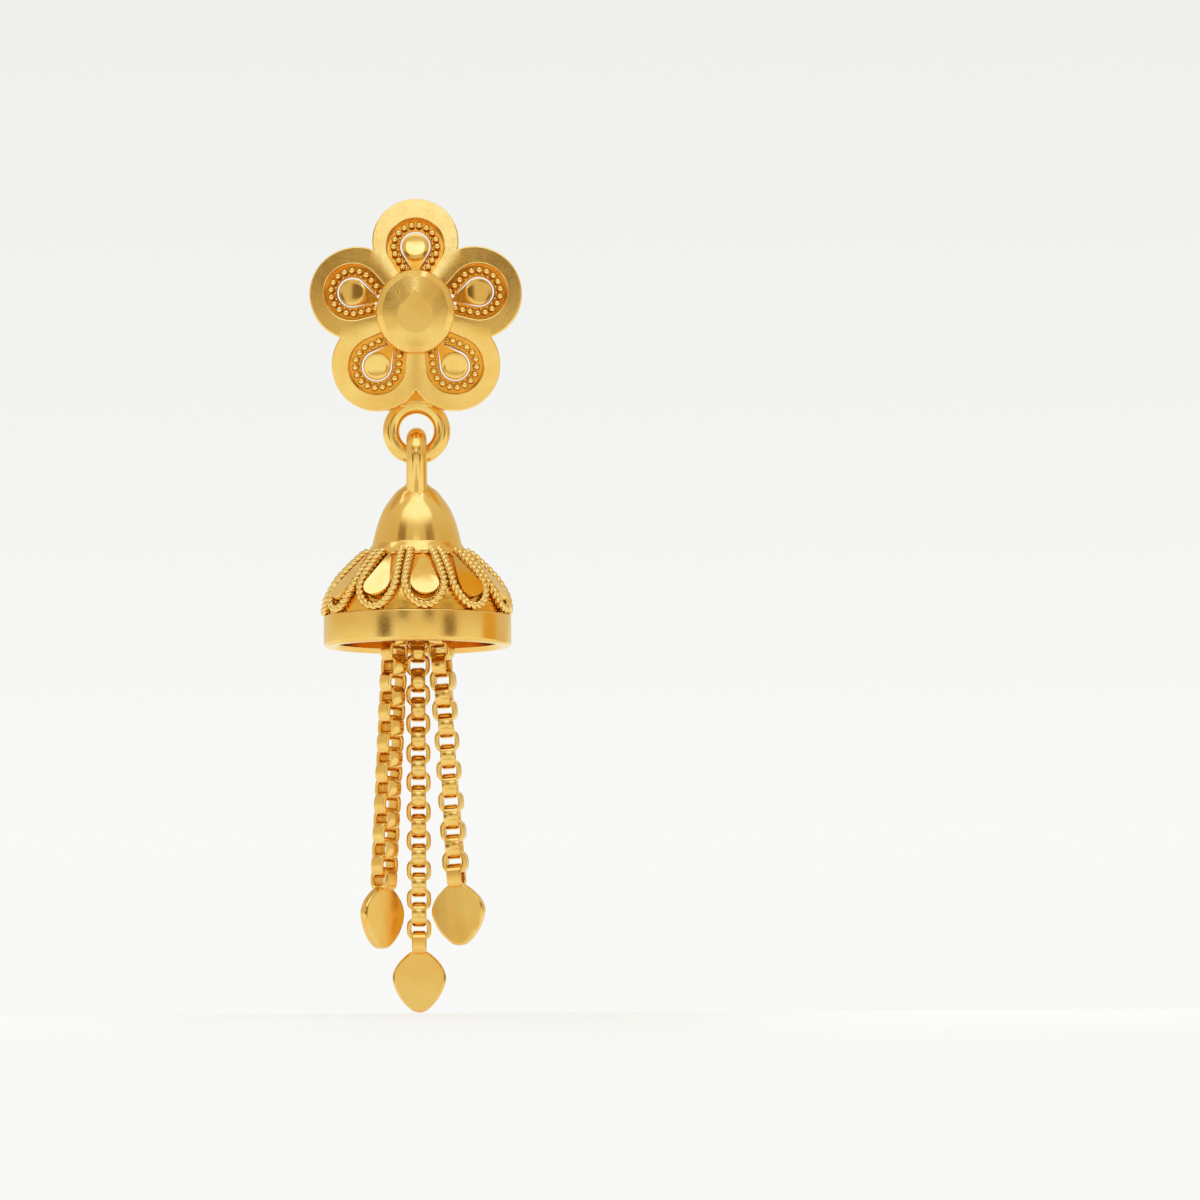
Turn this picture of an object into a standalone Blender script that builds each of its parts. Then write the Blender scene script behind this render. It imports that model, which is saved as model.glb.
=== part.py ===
"""Drop earring in the jhumka form: a pierced flower stud, a hanging ring, a filigree bell and box chains.

Metres, +Z up. The flower faces -Y and its post points along +Y. The origin is on the post's axis, in the
plane where the stud meets the ear. The bell, its chains and its leaves hang from the ring and swing about
PIVOT.
"""

import math

import bmesh
import bpy
from mathutils import Matrix, Vector

MM = 0.001
SEAM = 0.03 * MM  # hairline between pieces that are soldered or strung together
WELD = 0.0005 * MM  # points closer than this are one
LEVEL = 0.01 * MM  # heights closer than this count as equal
SHARP = math.radians(32)  # edges sharper than this are not shaded round
WIRE_SIDES = 8

# --- flower -----------------------------------------------------------------------------------------------
FLOWER_FRONT = -2.30 * MM  # y of the plate's middle, its foremost point
LEAN = math.tan(math.radians(10))  # every petal leans back from the middle
PLATE_THICKNESS = 0.80 * MM
PLATE_CHAMFER = 0.07 * MM
LOBE_STEPS = 8
# Angle round the flower, distance of the lobe's centre and radius of the lobe.
PETALS = (
    {"angle": 90, "reach": 3.97 * MM, "radius": 2.49 * MM},
    {"angle": 162, "reach": 3.54 * MM, "radius": 2.60 * MM},
    {"angle": 234, "reach": 3.64 * MM, "radius": 2.64 * MM},
    {"angle": 306, "reach": 3.64 * MM, "radius": 2.64 * MM},
    {"angle": 18, "reach": 3.54 * MM, "radius": 2.60 * MM},
)
OPENING_REACH = 3.78 * MM  # centre of the round end of every teardrop opening
OPENING_RADIUS = 1.62 * MM
OPENING_TAPER = math.radians(31.4)
OPENING_FOOT = 1.55 * MM
OPENING_STEPS = 10
LOOP_INSET = 0.37 * MM  # from the opening's edge to the middle of the bead loop's strip
LOOP_FOOT = 2.20 * MM
LOOP_WIDTH = 0.60 * MM
LOOP_BACK = 0.65 * MM  # depths below the plate's face
LOOP_SHOULDER = 0.30 * MM
LOOP_CREST = 0.06 * MM
LOOP_CREST_WIDTH = 0.26 * MM
DISC_RADIUS = 0.71 * MM
DISC_TAPER = math.radians(24)
DISC_NECK = 2.25 * MM
DISC_ROOT = (2.12 * MM, 1.62 * MM)
DISC_ROOT_WIDTH = 0.60 * MM
DISC_TOP = 0.12 * MM
DISC_DRAFT = 0.05 * MM  # narrower at its top than at its foot
DISC_SINK = 0.06 * MM  # how far its foot stays above the teardrop plate's back
DISC_SIDES = 14
TEARDROP_BORDER = 0.03 * MM  # of the teardrop plate round the disc
TEARDROP_TOP = 0.42 * MM
TEARDROP_BACK = 0.65 * MM

BOSS_WIDTH = 4.43 * MM
BOSS_HEIGHT = 4.71 * MM
BOSS_SIDES = 20
BOSS_FOOT_CHAMFER = 0.06 * MM
BOSS_EDGE = 0.42 * MM
BOSS_SHOULDER = 0.56 * MM
BOSS_SHOULDER_INSET = 0.16 * MM
BOSS_TOP = 0.92 * MM
TABLE_RADIUS = 0.93 * MM
TABLE_TIP = 1.26 * MM
TABLE_TIP_ANGLE = math.radians(50)  # half the angle over which the table is drawn out to its tip

POST_RADIUS = 0.40 * MM
POST_END = 9.20 * MM
POST_SIDES = 12
POST_CHAMFER = 0.15 * MM

# --- hanging ring, bail and bell --------------------------------------------------------------------------
HANG_Y = -0.13 * MM  # plane of the ring, and axis of the bell below it
RING_Z = -6.67 * MM
RING_RADIUS = 1.45 * MM  # middle of the wire
RING_WIRE = 0.47 * MM
RING_STEPS = 18
LUG_TOP = -4.15 * MM
LUG_HALF_WIDTH = 0.95 * MM
LUG_TIP_HALF_WIDTH = 0.20 * MM
LUG_SINK = 0.10 * MM  # how far the lug reaches below the middle of the ring's wire
LUG_FRONT = -0.58 * MM
LUG_BACK = -0.10 * MM
PIVOT = Vector((0, HANG_Y, RING_Z - RING_RADIUS))
BAIL_WIRE = 0.555 * MM
BAIL_RADIUS = 1.185 * MM
BAIL_STEPS = 16
BAIL_Z = PIVOT.z + RING_WIRE + SEAM - BAIL_RADIUS + BAIL_WIRE

CAP_STEPS = 18
# Radius and height in millimetres down the outside of the dome, from the neck to the flared lip.
CAP_OUTSIDE = (
    (0.00, -9.72), (0.68, -9.82), (0.86, -10.10), (1.32, -10.40), (1.72, -10.80), (2.02, -11.22),
    (2.20, -11.68), (2.38, -12.36), (2.54, -12.90), (2.78, -13.38), (2.90, -13.62), (2.82, -13.74),
)
CAP_INSIDE = ((2.48, -13.74), (2.18, -13.10), (1.92, -12.20), (1.55, -11.20), (0.00, -10.52))

SKIRT_STEPS = 22
SKIRT_WALL = 0.28 * MM
# Radius and height in millimetres down the outside of the skirt's wall.
SKIRT_OUTSIDE = (
    (2.62, -13.78), (3.05, -14.05), (3.58, -14.55), (4.25, -15.25),
    (4.72, -15.95), (4.96, -16.60), (5.02, -17.22),
)

BAND_STEPS = 28
# Radius and height in millimetres round the band's section, down its outside and up its inside.
BAND_PROFILE = (
    (4.74, -17.25), (5.24, -17.25), (5.34, -17.33), (5.34, -18.74),
    (5.22, -18.95), (4.86, -18.95), (4.66, -18.78),
)

ROPE_LOOPS = 11
ROPE_LOOP_TURN = math.radians(6)  # the foremost one stands a little to the right
ROPE_LOOP_ROOM = 0.09 * MM  # between the loop's back and the skirt's wall
ROPE_LOOP_TOP = 0.24 * MM  # distances down the skirt's slope
ROPE_LOOP_WIDEST = 2.85 * MM
ROPE_LOOP_BOTTOM = 4.27 * MM
ROPE_LOOP_HALF_ANGLE = math.radians(15.2)
ROPE = 0.33 * MM
ROPE_CREST = 0.40 * MM
ROPE_SHOULDER = 0.18 * MM
ROUND_END = (30, 58, 82)  # degrees at which the round lower end of a loop or a teardrop has its points
TEAR_TOP = 0.70 * MM
TEAR_TIP_HALF_WIDTH = 0.03 * MM
TEAR_WIDEST = 2.95 * MM
TEAR_BOTTOM = 3.68 * MM
TEAR_HALF_WIDTH = 0.74 * MM
TEAR_LIFT = 0.30 * MM

# --- chains and leaves ------------------------------------------------------------------------------------
LINK_HEIGHT = 1.445 * MM
LINK_HALF_WIDTH = 0.70 * MM
LINK_SHOULDER = 0.43 * MM  # half the width of the link's flat ends
LINK_BELLY = 0.26 * MM  # half the height of its widest part
LINK_OPENING = 0.475 * MM
LINK_OPENING_END = 0.45 * MM
LINK_OPENING_CORNER = 0.045 * MM
LINK_BAR = 0.31 * MM
LINK_BAND = 0.82 * MM  # width of the strip that the link is bent from
LINKS_JOINED = 4
STRETCH_STEP = 0.80 * MM  # from the last link of one stretch to the first of the next
HOOP_RADIUS = 1.30 * MM
HOOP_WIRE = 0.20 * MM
HOOP_STEPS = 14
HOOP_Z = -15.605 * MM
SPOKE_ANGLES = (30, 150, 270)
SPOKE_REACH = 4.12 * MM
SPOKE_RADIUS = 0.18 * MM
SPOKE_SIDES = 6
# For each chain: its links, where round the hoop it starts, how far beside the bell's axis its last link
# hangs and how high, and the degrees that its first, middle and last links are turned.
CHAINS = {
    "left": {"links": 19, "start": 210.5, "foot": -1.95 * MM, "foot_z": -32.12 * MM, "turns": (38, 45, 47)},
    "centre": {"links": 24, "start": 90, "foot": 0, "foot_z": -35.92 * MM, "turns": (0, 0, 0)},
    "right": {"links": 19, "start": 329.5, "foot": 2.15 * MM, "foot_z": -32.10 * MM, "turns": (-38, 0, 0)},
}
# The leaf is a lozenge with rounded corners; these are its corners before they are rounded, and their radii.
LEAF_HALF_WIDTH = 1.70 * MM
LEAF_ABOVE = 2.70 * MM
LEAF_BELOW = 2.62 * MM
LEAF_SIDE_RADIUS = 0.90 * MM
LEAF_TOP_RADIUS = 1.15 * MM
LEAF_TIP_RADIUS = 0.75 * MM
LEAF_THICKNESS = 0.68 * MM
LEAF_DROP = 1.95 * MM  # from the middle of its link to its widest part
LEAF_CHAMFER = 0.07 * MM
LEAF_STEP = math.radians(22)

GOLD = (0.83, 0.55, 0.16)
DEEP_GOLD = (0.78, 0.45, 0.09)


for leftover in list(bpy.data.objects):
    bpy.data.objects.remove(leftover, do_unlink=True)
PARTS = bpy.data.collections.new("drop_earring")
CUTTERS = bpy.data.collections.new("joined_shapes")
bpy.context.scene.collection.children.link(PARTS)
bpy.context.scene.collection.children.link(CUTTERS)


def gold(name, colour=GOLD, roughness=0.25):
    """Yellow gold with the polish of one sub-part."""
    material = bpy.data.materials.new(name + "_gold")
    material.use_nodes = True
    shader = material.node_tree.nodes["Principled BSDF"]
    shader.inputs["Base Color"].default_value = (*colour, 1)
    shader.inputs["Metallic"].default_value = 1
    shader.inputs["Roughness"].default_value = roughness
    return material


def add_part(name, mesh, parent, roughness=0.25, colour=GOLD):
    """Link one sub-part, with its own gold, under the empty that carries it."""
    mesh.name = name
    mesh.materials.clear()
    mesh.materials.append(gold(name, colour, roughness))
    mesh.shade_smooth()
    mesh.set_sharp_from_angle(angle=SHARP)
    part = bpy.data.objects.new(name, mesh)
    PARTS.objects.link(part)
    part.parent = parent
    part.matrix_parent_inverse = parent.matrix_world.inverted()
    return part


def add_joined_shape(name, mesh, parent):
    """A hidden solid that a Boolean joins to a part."""
    shape = bpy.data.objects.new(name, mesh)
    CUTTERS.objects.link(shape)
    shape.parent = parent
    shape.matrix_parent_inverse = parent.matrix_world.inverted()
    shape.hide_render = True
    shape.display_type = "WIRE"
    return shape


def join_to(part, shape):
    """Solder one hidden solid to a part."""
    union = part.modifiers.new("soldered_" + shape.name, "BOOLEAN")
    union.operation = "UNION"
    union.solver = "EXACT"
    union.object = shape


def add_empty(name, place):
    """An empty that carries the pieces of one rigid body."""
    empty = bpy.data.objects.new(name, None)
    empty.empty_display_size = 2 * MM
    empty.location = place
    PARTS.objects.link(empty)
    return empty


def mesh_from(work, name):
    """Close a bmesh into a mesh with its faces pointing out."""
    bmesh.ops.recalc_face_normals(work, faces=work.faces)
    mesh = bpy.data.meshes.new(name)
    work.to_mesh(mesh)
    work.free()
    return mesh


def mesh_of_curve(curve):
    """The closed mesh of a curve, its caps welded to its sides."""
    holder = bpy.data.objects.new(curve.name, curve)
    CUTTERS.objects.link(holder)
    bpy.context.view_layer.update()
    mesh = bpy.data.meshes.new_from_object(holder.evaluated_get(bpy.context.evaluated_depsgraph_get()))
    bpy.data.objects.remove(holder)
    work = bmesh.new()
    work.from_mesh(mesh)
    bmesh.ops.remove_doubles(work, verts=work.verts, dist=WELD)
    bmesh.ops.dissolve_degenerate(work, edges=work.edges, dist=WELD)
    bmesh.ops.recalc_face_normals(work, faces=work.faces)
    work.to_mesh(mesh)
    work.free()
    return mesh


def add_spline(curve, points, closed):
    """One run of straight pieces on a curve."""
    spline = curve.splines.new("POLY")
    spline.points.add(len(points) - 1)
    for point, place in zip(spline.points, points):
        point.co = (*Vector(place).to_3d(), 1)
    spline.use_cyclic_u = closed


def plate(name, outlines, front, thickness):
    """A flat plate with its face at z = front: the first outline is its edge, the others are holes."""
    curve = bpy.data.curves.new(name, "CURVE")
    curve.dimensions = "2D"
    curve.fill_mode = "BOTH"
    curve.extrude = thickness / 2
    for outline in outlines:
        add_spline(curve, outline, closed=True)
    mesh = mesh_of_curve(curve)
    mesh.transform(Matrix.Translation((0, 0, front - thickness / 2)))
    return mesh


def add_turned(name, profile, steps, parent, roughness=0.25, colour=GOLD):
    """A sub-part turned about the bell's axis. Its profile is closed, or starts and ends on the axis."""
    points = [(radius * MM, 0, height * MM) for radius, height in profile]
    edges = [(index, index + 1) for index in range(len(points) - 1)]
    if profile[0][0] > 0:
        edges.append((len(points) - 1, 0))
    mesh = bpy.data.meshes.new(name)
    mesh.from_pydata(points, edges, [])
    part = add_part(name, mesh, parent, roughness, colour)
    part.location = (0, HANG_Y, 0)
    screw = part.modifiers.new("turned", "SCREW")
    screw.axis = "Z"
    screw.angle = math.tau
    screw.steps = steps
    screw.render_steps = steps
    screw.use_merge_vertices = True
    screw.merge_threshold = WELD
    screw.use_smooth_shade = True
    return part


def chamfered(mesh, width, keep):
    """Break the sharp edges that keep(edge) picks out."""
    work = bmesh.new()
    work.from_mesh(mesh)
    edges = [edge for edge in work.edges if edge.calc_face_angle(0) > SHARP and keep(edge)]
    bmesh.ops.bevel(
        work, geom=edges, offset=width, offset_type="OFFSET", affect="EDGES",
        segments=1, profile=0.5, material=-1,
    )
    work.to_mesh(mesh)
    work.free()
    return mesh


# --- flower -----------------------------------------------------------------------------------------------
def petal_matrix(angle):
    """Takes (out along a petal, across it, forward) to its place on the leaning petal."""
    turn = math.radians(angle)
    along = (math.cos(turn), LEAN, math.sin(turn))
    across = (-math.sin(turn), 0, math.cos(turn))
    forward = (0, -1, 0)
    matrix = Matrix((along, across, forward)).transposed().to_4x4()
    matrix.translation = (0, FLOWER_FRONT, 0)
    return matrix


def teardrop(radius, taper, foot, steps):
    """Points from one foot round a circle at OPENING_REACH to the other foot, with straight flanks."""
    half_foot = (radius - (OPENING_REACH - foot) * math.sin(taper)) / math.cos(taper)
    turn = math.pi / 2 + taper
    arc = [
        (OPENING_REACH + radius * math.cos(angle), radius * math.sin(angle))
        for angle in (turn * (2 * step / steps - 1) for step in range(steps + 1))
    ]
    return [(foot, -half_foot), *arc, (foot, half_foot)]


def lobe_crossing(first, second):
    """The outer point where the edges of two neighbouring lobes cross."""
    centres = [Vector((p["reach"], 0)) for p in (first, second)]
    for centre, petal in zip(centres, (first, second)):
        centre.rotate(Matrix.Rotation(math.radians(petal["angle"]), 2))
    span = centres[1] - centres[0]
    along = (span.length_squared + first["radius"] ** 2 - second["radius"] ** 2) / (2 * span.length)
    out = math.sqrt(first["radius"] ** 2 - along**2)
    direction = span.normalized()
    middle = centres[0] + direction * along
    side = Vector((-direction.y, direction.x)) * out
    return max(middle + side, middle - side, key=lambda point: point.length)


def flower_outline():
    """The five lobes' edge, from notch to notch."""
    points = []
    for index, petal in enumerate(PETALS):
        centre = Vector((petal["reach"], 0))
        centre.rotate(Matrix.Rotation(math.radians(petal["angle"]), 2))
        start = lobe_crossing(PETALS[index - 1], petal) - centre
        end = lobe_crossing(petal, PETALS[(index + 1) % len(PETALS)]) - centre
        first = math.atan2(start.y, start.x)
        sweep = (math.atan2(end.y, end.x) - first) % math.tau
        for step in range(LOBE_STEPS):
            angle = first + sweep * step / LOBE_STEPS
            points.append(centre + petal["radius"] * Vector((math.cos(angle), math.sin(angle))))
    return points


def lean_back(mesh):
    """Turn a flat flower piece to face -Y and lean each of its five sectors back."""
    axes = [Vector((math.cos(math.radians(p["angle"])), math.sin(math.radians(p["angle"])))) for p in PETALS]
    work = bmesh.new()
    work.from_mesh(mesh)
    for petal in PETALS:
        ridge = math.radians(petal["angle"] + 36)
        normal = (-math.sin(ridge), math.cos(ridge), 0)
        everything = [*work.verts, *work.edges, *work.faces]
        bmesh.ops.bisect_plane(work, geom=everything, dist=WELD, plane_co=(0, 0, 0), plane_no=normal)
    for vert in work.verts:
        out = max(vert.co.xy.dot(axis) for axis in axes)
        vert.co = (vert.co.x, FLOWER_FRONT - vert.co.z + LEAN * out, vert.co.y)
    bmesh.ops.triangulate(work, faces=[face for face in work.faces if len(face.verts) > 4])
    work.to_mesh(mesh)
    work.free()
    return mesh


def flower_plate():
    openings = []
    for petal in PETALS:
        turn = Matrix.Rotation(math.radians(petal["angle"]), 2)
        outline = teardrop(OPENING_RADIUS, OPENING_TAPER, OPENING_FOOT, OPENING_STEPS)
        openings.append([turn @ Vector(point) for point in outline])
    mesh = plate("flower_plate", [flower_outline(), *openings], 0, PLATE_THICKNESS)
    chamfered(mesh, PLATE_CHAMFER, lambda edge: all(vert.co.z > -LEVEL for vert in edge.verts))
    return lean_back(mesh)


def bead_loop(angle):
    """The strip that a petal's row of beads is soldered to, with the row as one plain ridge."""
    section = bpy.data.curves.new("bead_loop_section", "CURVE")
    section.dimensions = "2D"
    half, crest = LOOP_WIDTH / 2, LOOP_CREST_WIDTH / 2
    add_spline(
        section,
        (
            (-half, -LOOP_BACK), (half, -LOOP_BACK), (half, -LOOP_SHOULDER),
            (crest, -LOOP_CREST), (-crest, -LOOP_CREST), (-half, -LOOP_SHOULDER),
        ),
        closed=True,
    )
    holder = bpy.data.objects.new("bead_loop_section", section)
    CUTTERS.objects.link(holder)
    path = bpy.data.curves.new("bead_loop", "CURVE")
    path.dimensions = "3D"
    path.twist_mode = "Z_UP"
    path.bevel_mode = "OBJECT"
    path.bevel_object = holder
    path.use_fill_caps = True
    middle = teardrop(OPENING_RADIUS - LOOP_INSET, OPENING_TAPER, LOOP_FOOT, OPENING_STEPS)
    add_spline(path, middle, closed=False)
    mesh = mesh_of_curve(path)
    bpy.data.objects.remove(holder)
    mesh.transform(petal_matrix(angle))
    return mesh


def petal_disc(name, angle, parent):
    """A petal's teardrop: a raised polished disc on a plate that runs in under the boss."""
    outline = teardrop(DISC_RADIUS + TEARDROP_BORDER, DISC_TAPER, DISC_NECK, OPENING_STEPS)
    root_far, root_near = DISC_ROOT
    half = DISC_ROOT_WIDTH / 2
    outline += [(root_far, half), (root_near, half), (root_near, -half), (root_far, -half)]
    mesh = plate(name, [outline], -TEARDROP_TOP, TEARDROP_BACK - TEARDROP_TOP)
    mesh.transform(petal_matrix(angle))
    part = add_part(name, mesh, parent, roughness=0.1, colour=DEEP_GOLD)
    work = bmesh.new()
    height = TEARDROP_BACK - DISC_SINK - DISC_TOP
    bmesh.ops.create_cone(
        work, cap_ends=True, segments=DISC_SIDES, radius1=DISC_RADIUS, radius2=DISC_RADIUS - DISC_DRAFT,
        depth=height, matrix=Matrix.Translation((OPENING_REACH, 0, -DISC_TOP - height / 2)),
    )
    bmesh.ops.transform(work, matrix=petal_matrix(angle), verts=work.verts)
    join_to(part, add_joined_shape(name + "_top", mesh_from(work, name + "_top"), parent))
    return part


def boss_radius(angle):
    """The boss's edge, a little taller than it is wide."""
    return 1 / math.hypot(2 * math.cos(angle) / BOSS_WIDTH, 2 * math.sin(angle) / BOSS_HEIGHT)


def table_radius(angle):
    """The drop-shaped flat on the boss: a circle drawn out to a point at the top."""
    from_top = abs((angle - math.pi / 2 + math.pi) % math.tau - math.pi)
    near_tip = max(0, 1 - from_top / TABLE_TIP_ANGLE)
    return TABLE_RADIUS + (TABLE_TIP - TABLE_RADIUS) * near_tip


def bridged_rings(rings):
    """A closed solid through rings of equally many points, with a flat fan at each end."""
    work = bmesh.new()
    loops = []
    for ring in rings:
        verts = [work.verts.new(point) for point in ring]
        loops.append([work.edges.new((verts[i - 1], verts[i])) for i in range(len(verts))])
    for lower, upper in zip(loops, loops[1:]):
        bmesh.ops.bridge_loops(work, edges=lower + upper)
    for ends in (loops[0], loops[-1]):
        cap = bmesh.ops.contextual_create(work, geom=ends)["faces"]
        bmesh.ops.poke(work, faces=cap)
    return work


def flower_boss():
    angles = [math.tau * side / BOSS_SIDES for side in range(BOSS_SIDES)]
    levels = (
        (lambda a: boss_radius(a) - BOSS_FOOT_CHAMFER, SEAM),
        (boss_radius, SEAM + BOSS_FOOT_CHAMFER),
        (boss_radius, BOSS_EDGE),
        (lambda a: boss_radius(a) - BOSS_SHOULDER_INSET, BOSS_SHOULDER),
        (table_radius, BOSS_TOP),
    )
    rings = []
    for reach, height in levels:
        rings.append([(reach(a) * math.cos(a), reach(a) * math.sin(a), height) for a in angles])
    return lean_back(mesh_from(bridged_rings(rings), "flower_boss"))


def ear_post():
    back = FLOWER_FRONT + PLATE_THICKNESS + SEAM
    work = bmesh.new()
    place = Matrix.Translation((0, (POST_END + back) / 2, 0)) @ Matrix.Rotation(-math.pi / 2, 4, "X")
    bmesh.ops.create_cone(
        work, cap_ends=True, segments=POST_SIDES, radius1=POST_RADIUS, radius2=POST_RADIUS,
        depth=POST_END - back, matrix=place,
    )
    tip = [edge for edge in work.edges if all(vert.co.y > POST_END - LEVEL for vert in edge.verts)]
    bmesh.ops.bevel(
        work, geom=tip, offset=POST_CHAMFER, offset_type="OFFSET", affect="EDGES",
        segments=1, profile=0.5, material=-1,
    )
    return mesh_from(work, "ear_post")


# --- ring and bell ----------------------------------------------------------------------------------------
def torus(name, major, minor, steps, sides, place):
    """A round wire bent to a ring."""
    bpy.ops.mesh.primitive_torus_add(
        major_radius=major, minor_radius=minor, major_segments=steps, minor_segments=sides
    )
    ring = bpy.context.object
    mesh = ring.data
    bpy.data.objects.remove(ring)
    mesh.name = name
    mesh.transform(place)
    return mesh


def hanging_ring(parent):
    """The ring below the flower, with the small pointed lug that is soldered behind the lowest notch."""
    facing = Matrix.Translation((0, HANG_Y, RING_Z)) @ Matrix.Rotation(math.pi / 2, 4, "X")
    wire = torus("hanging_ring", RING_RADIUS, RING_WIRE, RING_STEPS, WIRE_SIDES, facing)
    part = add_part("hanging_ring", wire, parent, 0.2)
    foot = RING_Z + RING_RADIUS - LUG_SINK
    outline = [
        (-LUG_HALF_WIDTH, foot), (LUG_HALF_WIDTH, foot),
        (LUG_TIP_HALF_WIDTH, LUG_TOP), (-LUG_TIP_HALF_WIDTH, LUG_TOP),
    ]
    lug = plate("ring_lug", [outline], 0, LUG_BACK - LUG_FRONT)
    lug.transform(Matrix.Translation((0, LUG_FRONT, 0)) @ Matrix.Rotation(math.pi / 2, 4, "X"))
    join_to(part, add_joined_shape("ring_lug", lug, parent))


def bell_cap(parent):
    """The polished dome, with its bail soldered on."""
    part = add_turned("bell_cap", CAP_OUTSIDE + CAP_INSIDE, CAP_STEPS, parent, 0.12)
    upright = Matrix.Translation((0, HANG_Y, BAIL_Z)) @ Matrix.Rotation(math.pi / 2, 4, "Y")
    bail = torus("bail", BAIL_RADIUS, BAIL_WIRE, BAIL_STEPS, WIRE_SIDES, upright)
    join_to(part, add_joined_shape("bail", bail, parent))


def skirt_point(distance, lift):
    """Radius and height of a point this far down the skirt's slope and this far off its wall."""
    points = [Vector(point) * MM for point in SKIRT_OUTSIDE]
    for start, end in zip(points, points[1:]):
        run = (end - start).length
        if distance <= run or end == points[-1]:
            slope = (end - start) / run
            return start + slope * distance + Vector((-slope.y, slope.x)) * lift
        distance -= run


def bell_skirt(parent):
    outside = [Vector(point) for point in SKIRT_OUTSIDE]
    inside = []
    for index, point in enumerate(outside):
        before, after = outside[max(index - 1, 0)], outside[min(index + 1, len(outside) - 1)]
        slope = (after - before).normalized()
        inside.append(point + Vector((slope.y, -slope.x)) * (SKIRT_WALL / MM))
    add_turned("bell_skirt", [*outside, *reversed(inside)], SKIRT_STEPS, parent, 0.25, DEEP_GOLD)


def skirt_ring(half_widths, lift, centre):
    """A ring of points round one rope loop: down its right side, then back up its left."""
    ring = []
    for side, rows in ((1, half_widths), (-1, half_widths[-2:0:-1] + half_widths[:1])):
        for distance, half_width in rows:
            radius, height = skirt_point(distance, lift)
            angle = centre + side * half_width / skirt_point(distance, 0).x
            ring.append(Vector((radius * math.sin(angle), HANG_Y - radius * math.cos(angle), height)))
    return ring


def rope_rows(inset):
    """Distance down the skirt and half width of the rope loop, drawn in by an inset."""
    top = ROPE_LOOP_TOP + inset
    rows = []
    for distance in (top, (top + ROPE_LOOP_WIDEST) / 2, ROPE_LOOP_WIDEST):
        rows.append((distance, skirt_point(distance, 0).x * ROPE_LOOP_HALF_ANGLE - inset))
    widest = rows[-1][1]
    depth = ROPE_LOOP_BOTTOM - inset - ROPE_LOOP_WIDEST
    for turn in ROUND_END:
        angle = math.radians(turn)
        rows.append((ROPE_LOOP_WIDEST + depth * math.sin(angle), widest * math.cos(angle)))
    rows.append((ROPE_LOOP_WIDEST + depth, 0))
    return rows


def tear_rows():
    """Distance down the skirt and half width of the polished teardrop inside the rope loop."""
    rows = [
        (TEAR_TOP, TEAR_TIP_HALF_WIDTH),
        ((TEAR_TOP + TEAR_WIDEST) / 2, TEAR_HALF_WIDTH / 2),
        (TEAR_WIDEST, TEAR_HALF_WIDTH),
    ]
    depth = TEAR_BOTTOM - TEAR_WIDEST
    for turn in ROUND_END:
        angle = math.radians(turn)
        rows.append((TEAR_WIDEST + depth * math.sin(angle), TEAR_HALF_WIDTH * math.cos(angle)))
    rows.append((TEAR_BOTTOM, 0))
    return rows


def rope_loop(name, centre):
    """One rope loop with its teardrop plate, soldered together; its back follows the skirt's curve."""
    levels = (
        (rope_rows(0), ROPE_LOOP_ROOM),
        (rope_rows(0), ROPE_SHOULDER),
        (rope_rows(ROPE / 2), ROPE_CREST),
        (rope_rows(ROPE), ROPE_SHOULDER),
        (tear_rows(), TEAR_LIFT),
    )
    work = bmesh.new()
    loops = []
    for rows, lift in levels:
        verts = [work.verts.new(point) for point in skirt_ring(rows, lift, centre)]
        loops.append(verts)
    for lower, upper in zip(loops, loops[1:]):
        for index in range(len(lower)):
            work.faces.new((lower[index - 1], lower[index], upper[index], upper[index - 1]))
    rows = rope_rows(0)
    spine = [
        work.verts.new((p.x * math.sin(centre), HANG_Y - p.x * math.cos(centre), p.y))
        for p in (skirt_point(distance, ROPE_LOOP_ROOM) for distance, _ in rows[:-1])
    ]
    last = len(rows) - 1
    right = loops[0][:last]
    left = [loops[0][-1], *reversed(loops[0][last + 1:-1])]
    tip = loops[0][last]
    for index in range(last - 1):
        work.faces.new((right[index], spine[index], spine[index + 1], right[index + 1]))
        work.faces.new((spine[index], left[index], left[index + 1], spine[index + 1]))
    work.faces.new((right[-1], spine[-1], tip))
    work.faces.new((spine[-1], left[-1], tip))
    work.faces.new((right[0], left[0], spine[0]))
    work.faces.new(loops[-1])
    bmesh.ops.remove_doubles(work, verts=work.verts, dist=WELD)
    bmesh.ops.triangulate(work, faces=work.faces)
    return mesh_from(work, name)


# --- chains and leaves ------------------------------------------------------------------------------------
def add_link(work, matrix):
    """One box-chain link: a band bent to a rounded box, facing -Y before it is placed."""
    end, inner_end = LINK_HEIGHT / 2, LINK_HEIGHT / 2 - LINK_BAR
    corners = (
        ((LINK_HALF_WIDTH, LINK_BELLY), (LINK_OPENING, inner_end - LINK_OPENING_CORNER)),
        ((LINK_SHOULDER, end), (LINK_OPENING_END, inner_end)),
    )
    quarter = [(1, 1, corner) for corner in corners]
    outline = quarter + [(-1, 1, c) for c in reversed(corners)]
    outline += [(-1, -1, c) for c in corners] + [(1, -1, c) for c in reversed(corners)]
    rings = []
    for side_x, side_z, (outer, inner) in outline:
        ring = []
        for (x, z), side in ((outer, -0.5), (outer, 0.5), (inner, 0.5), (inner, -0.5)):
            ring.append(work.verts.new(matrix @ Vector((side_x * x, side * LINK_BAND, side_z * z))))
        rings.append(ring)
    for index, ring in enumerate(rings):
        before = rings[index - 1]
        for side in range(4):
            work.faces.new((before[side - 1], before[side], ring[side], ring[side - 1]))


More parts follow.
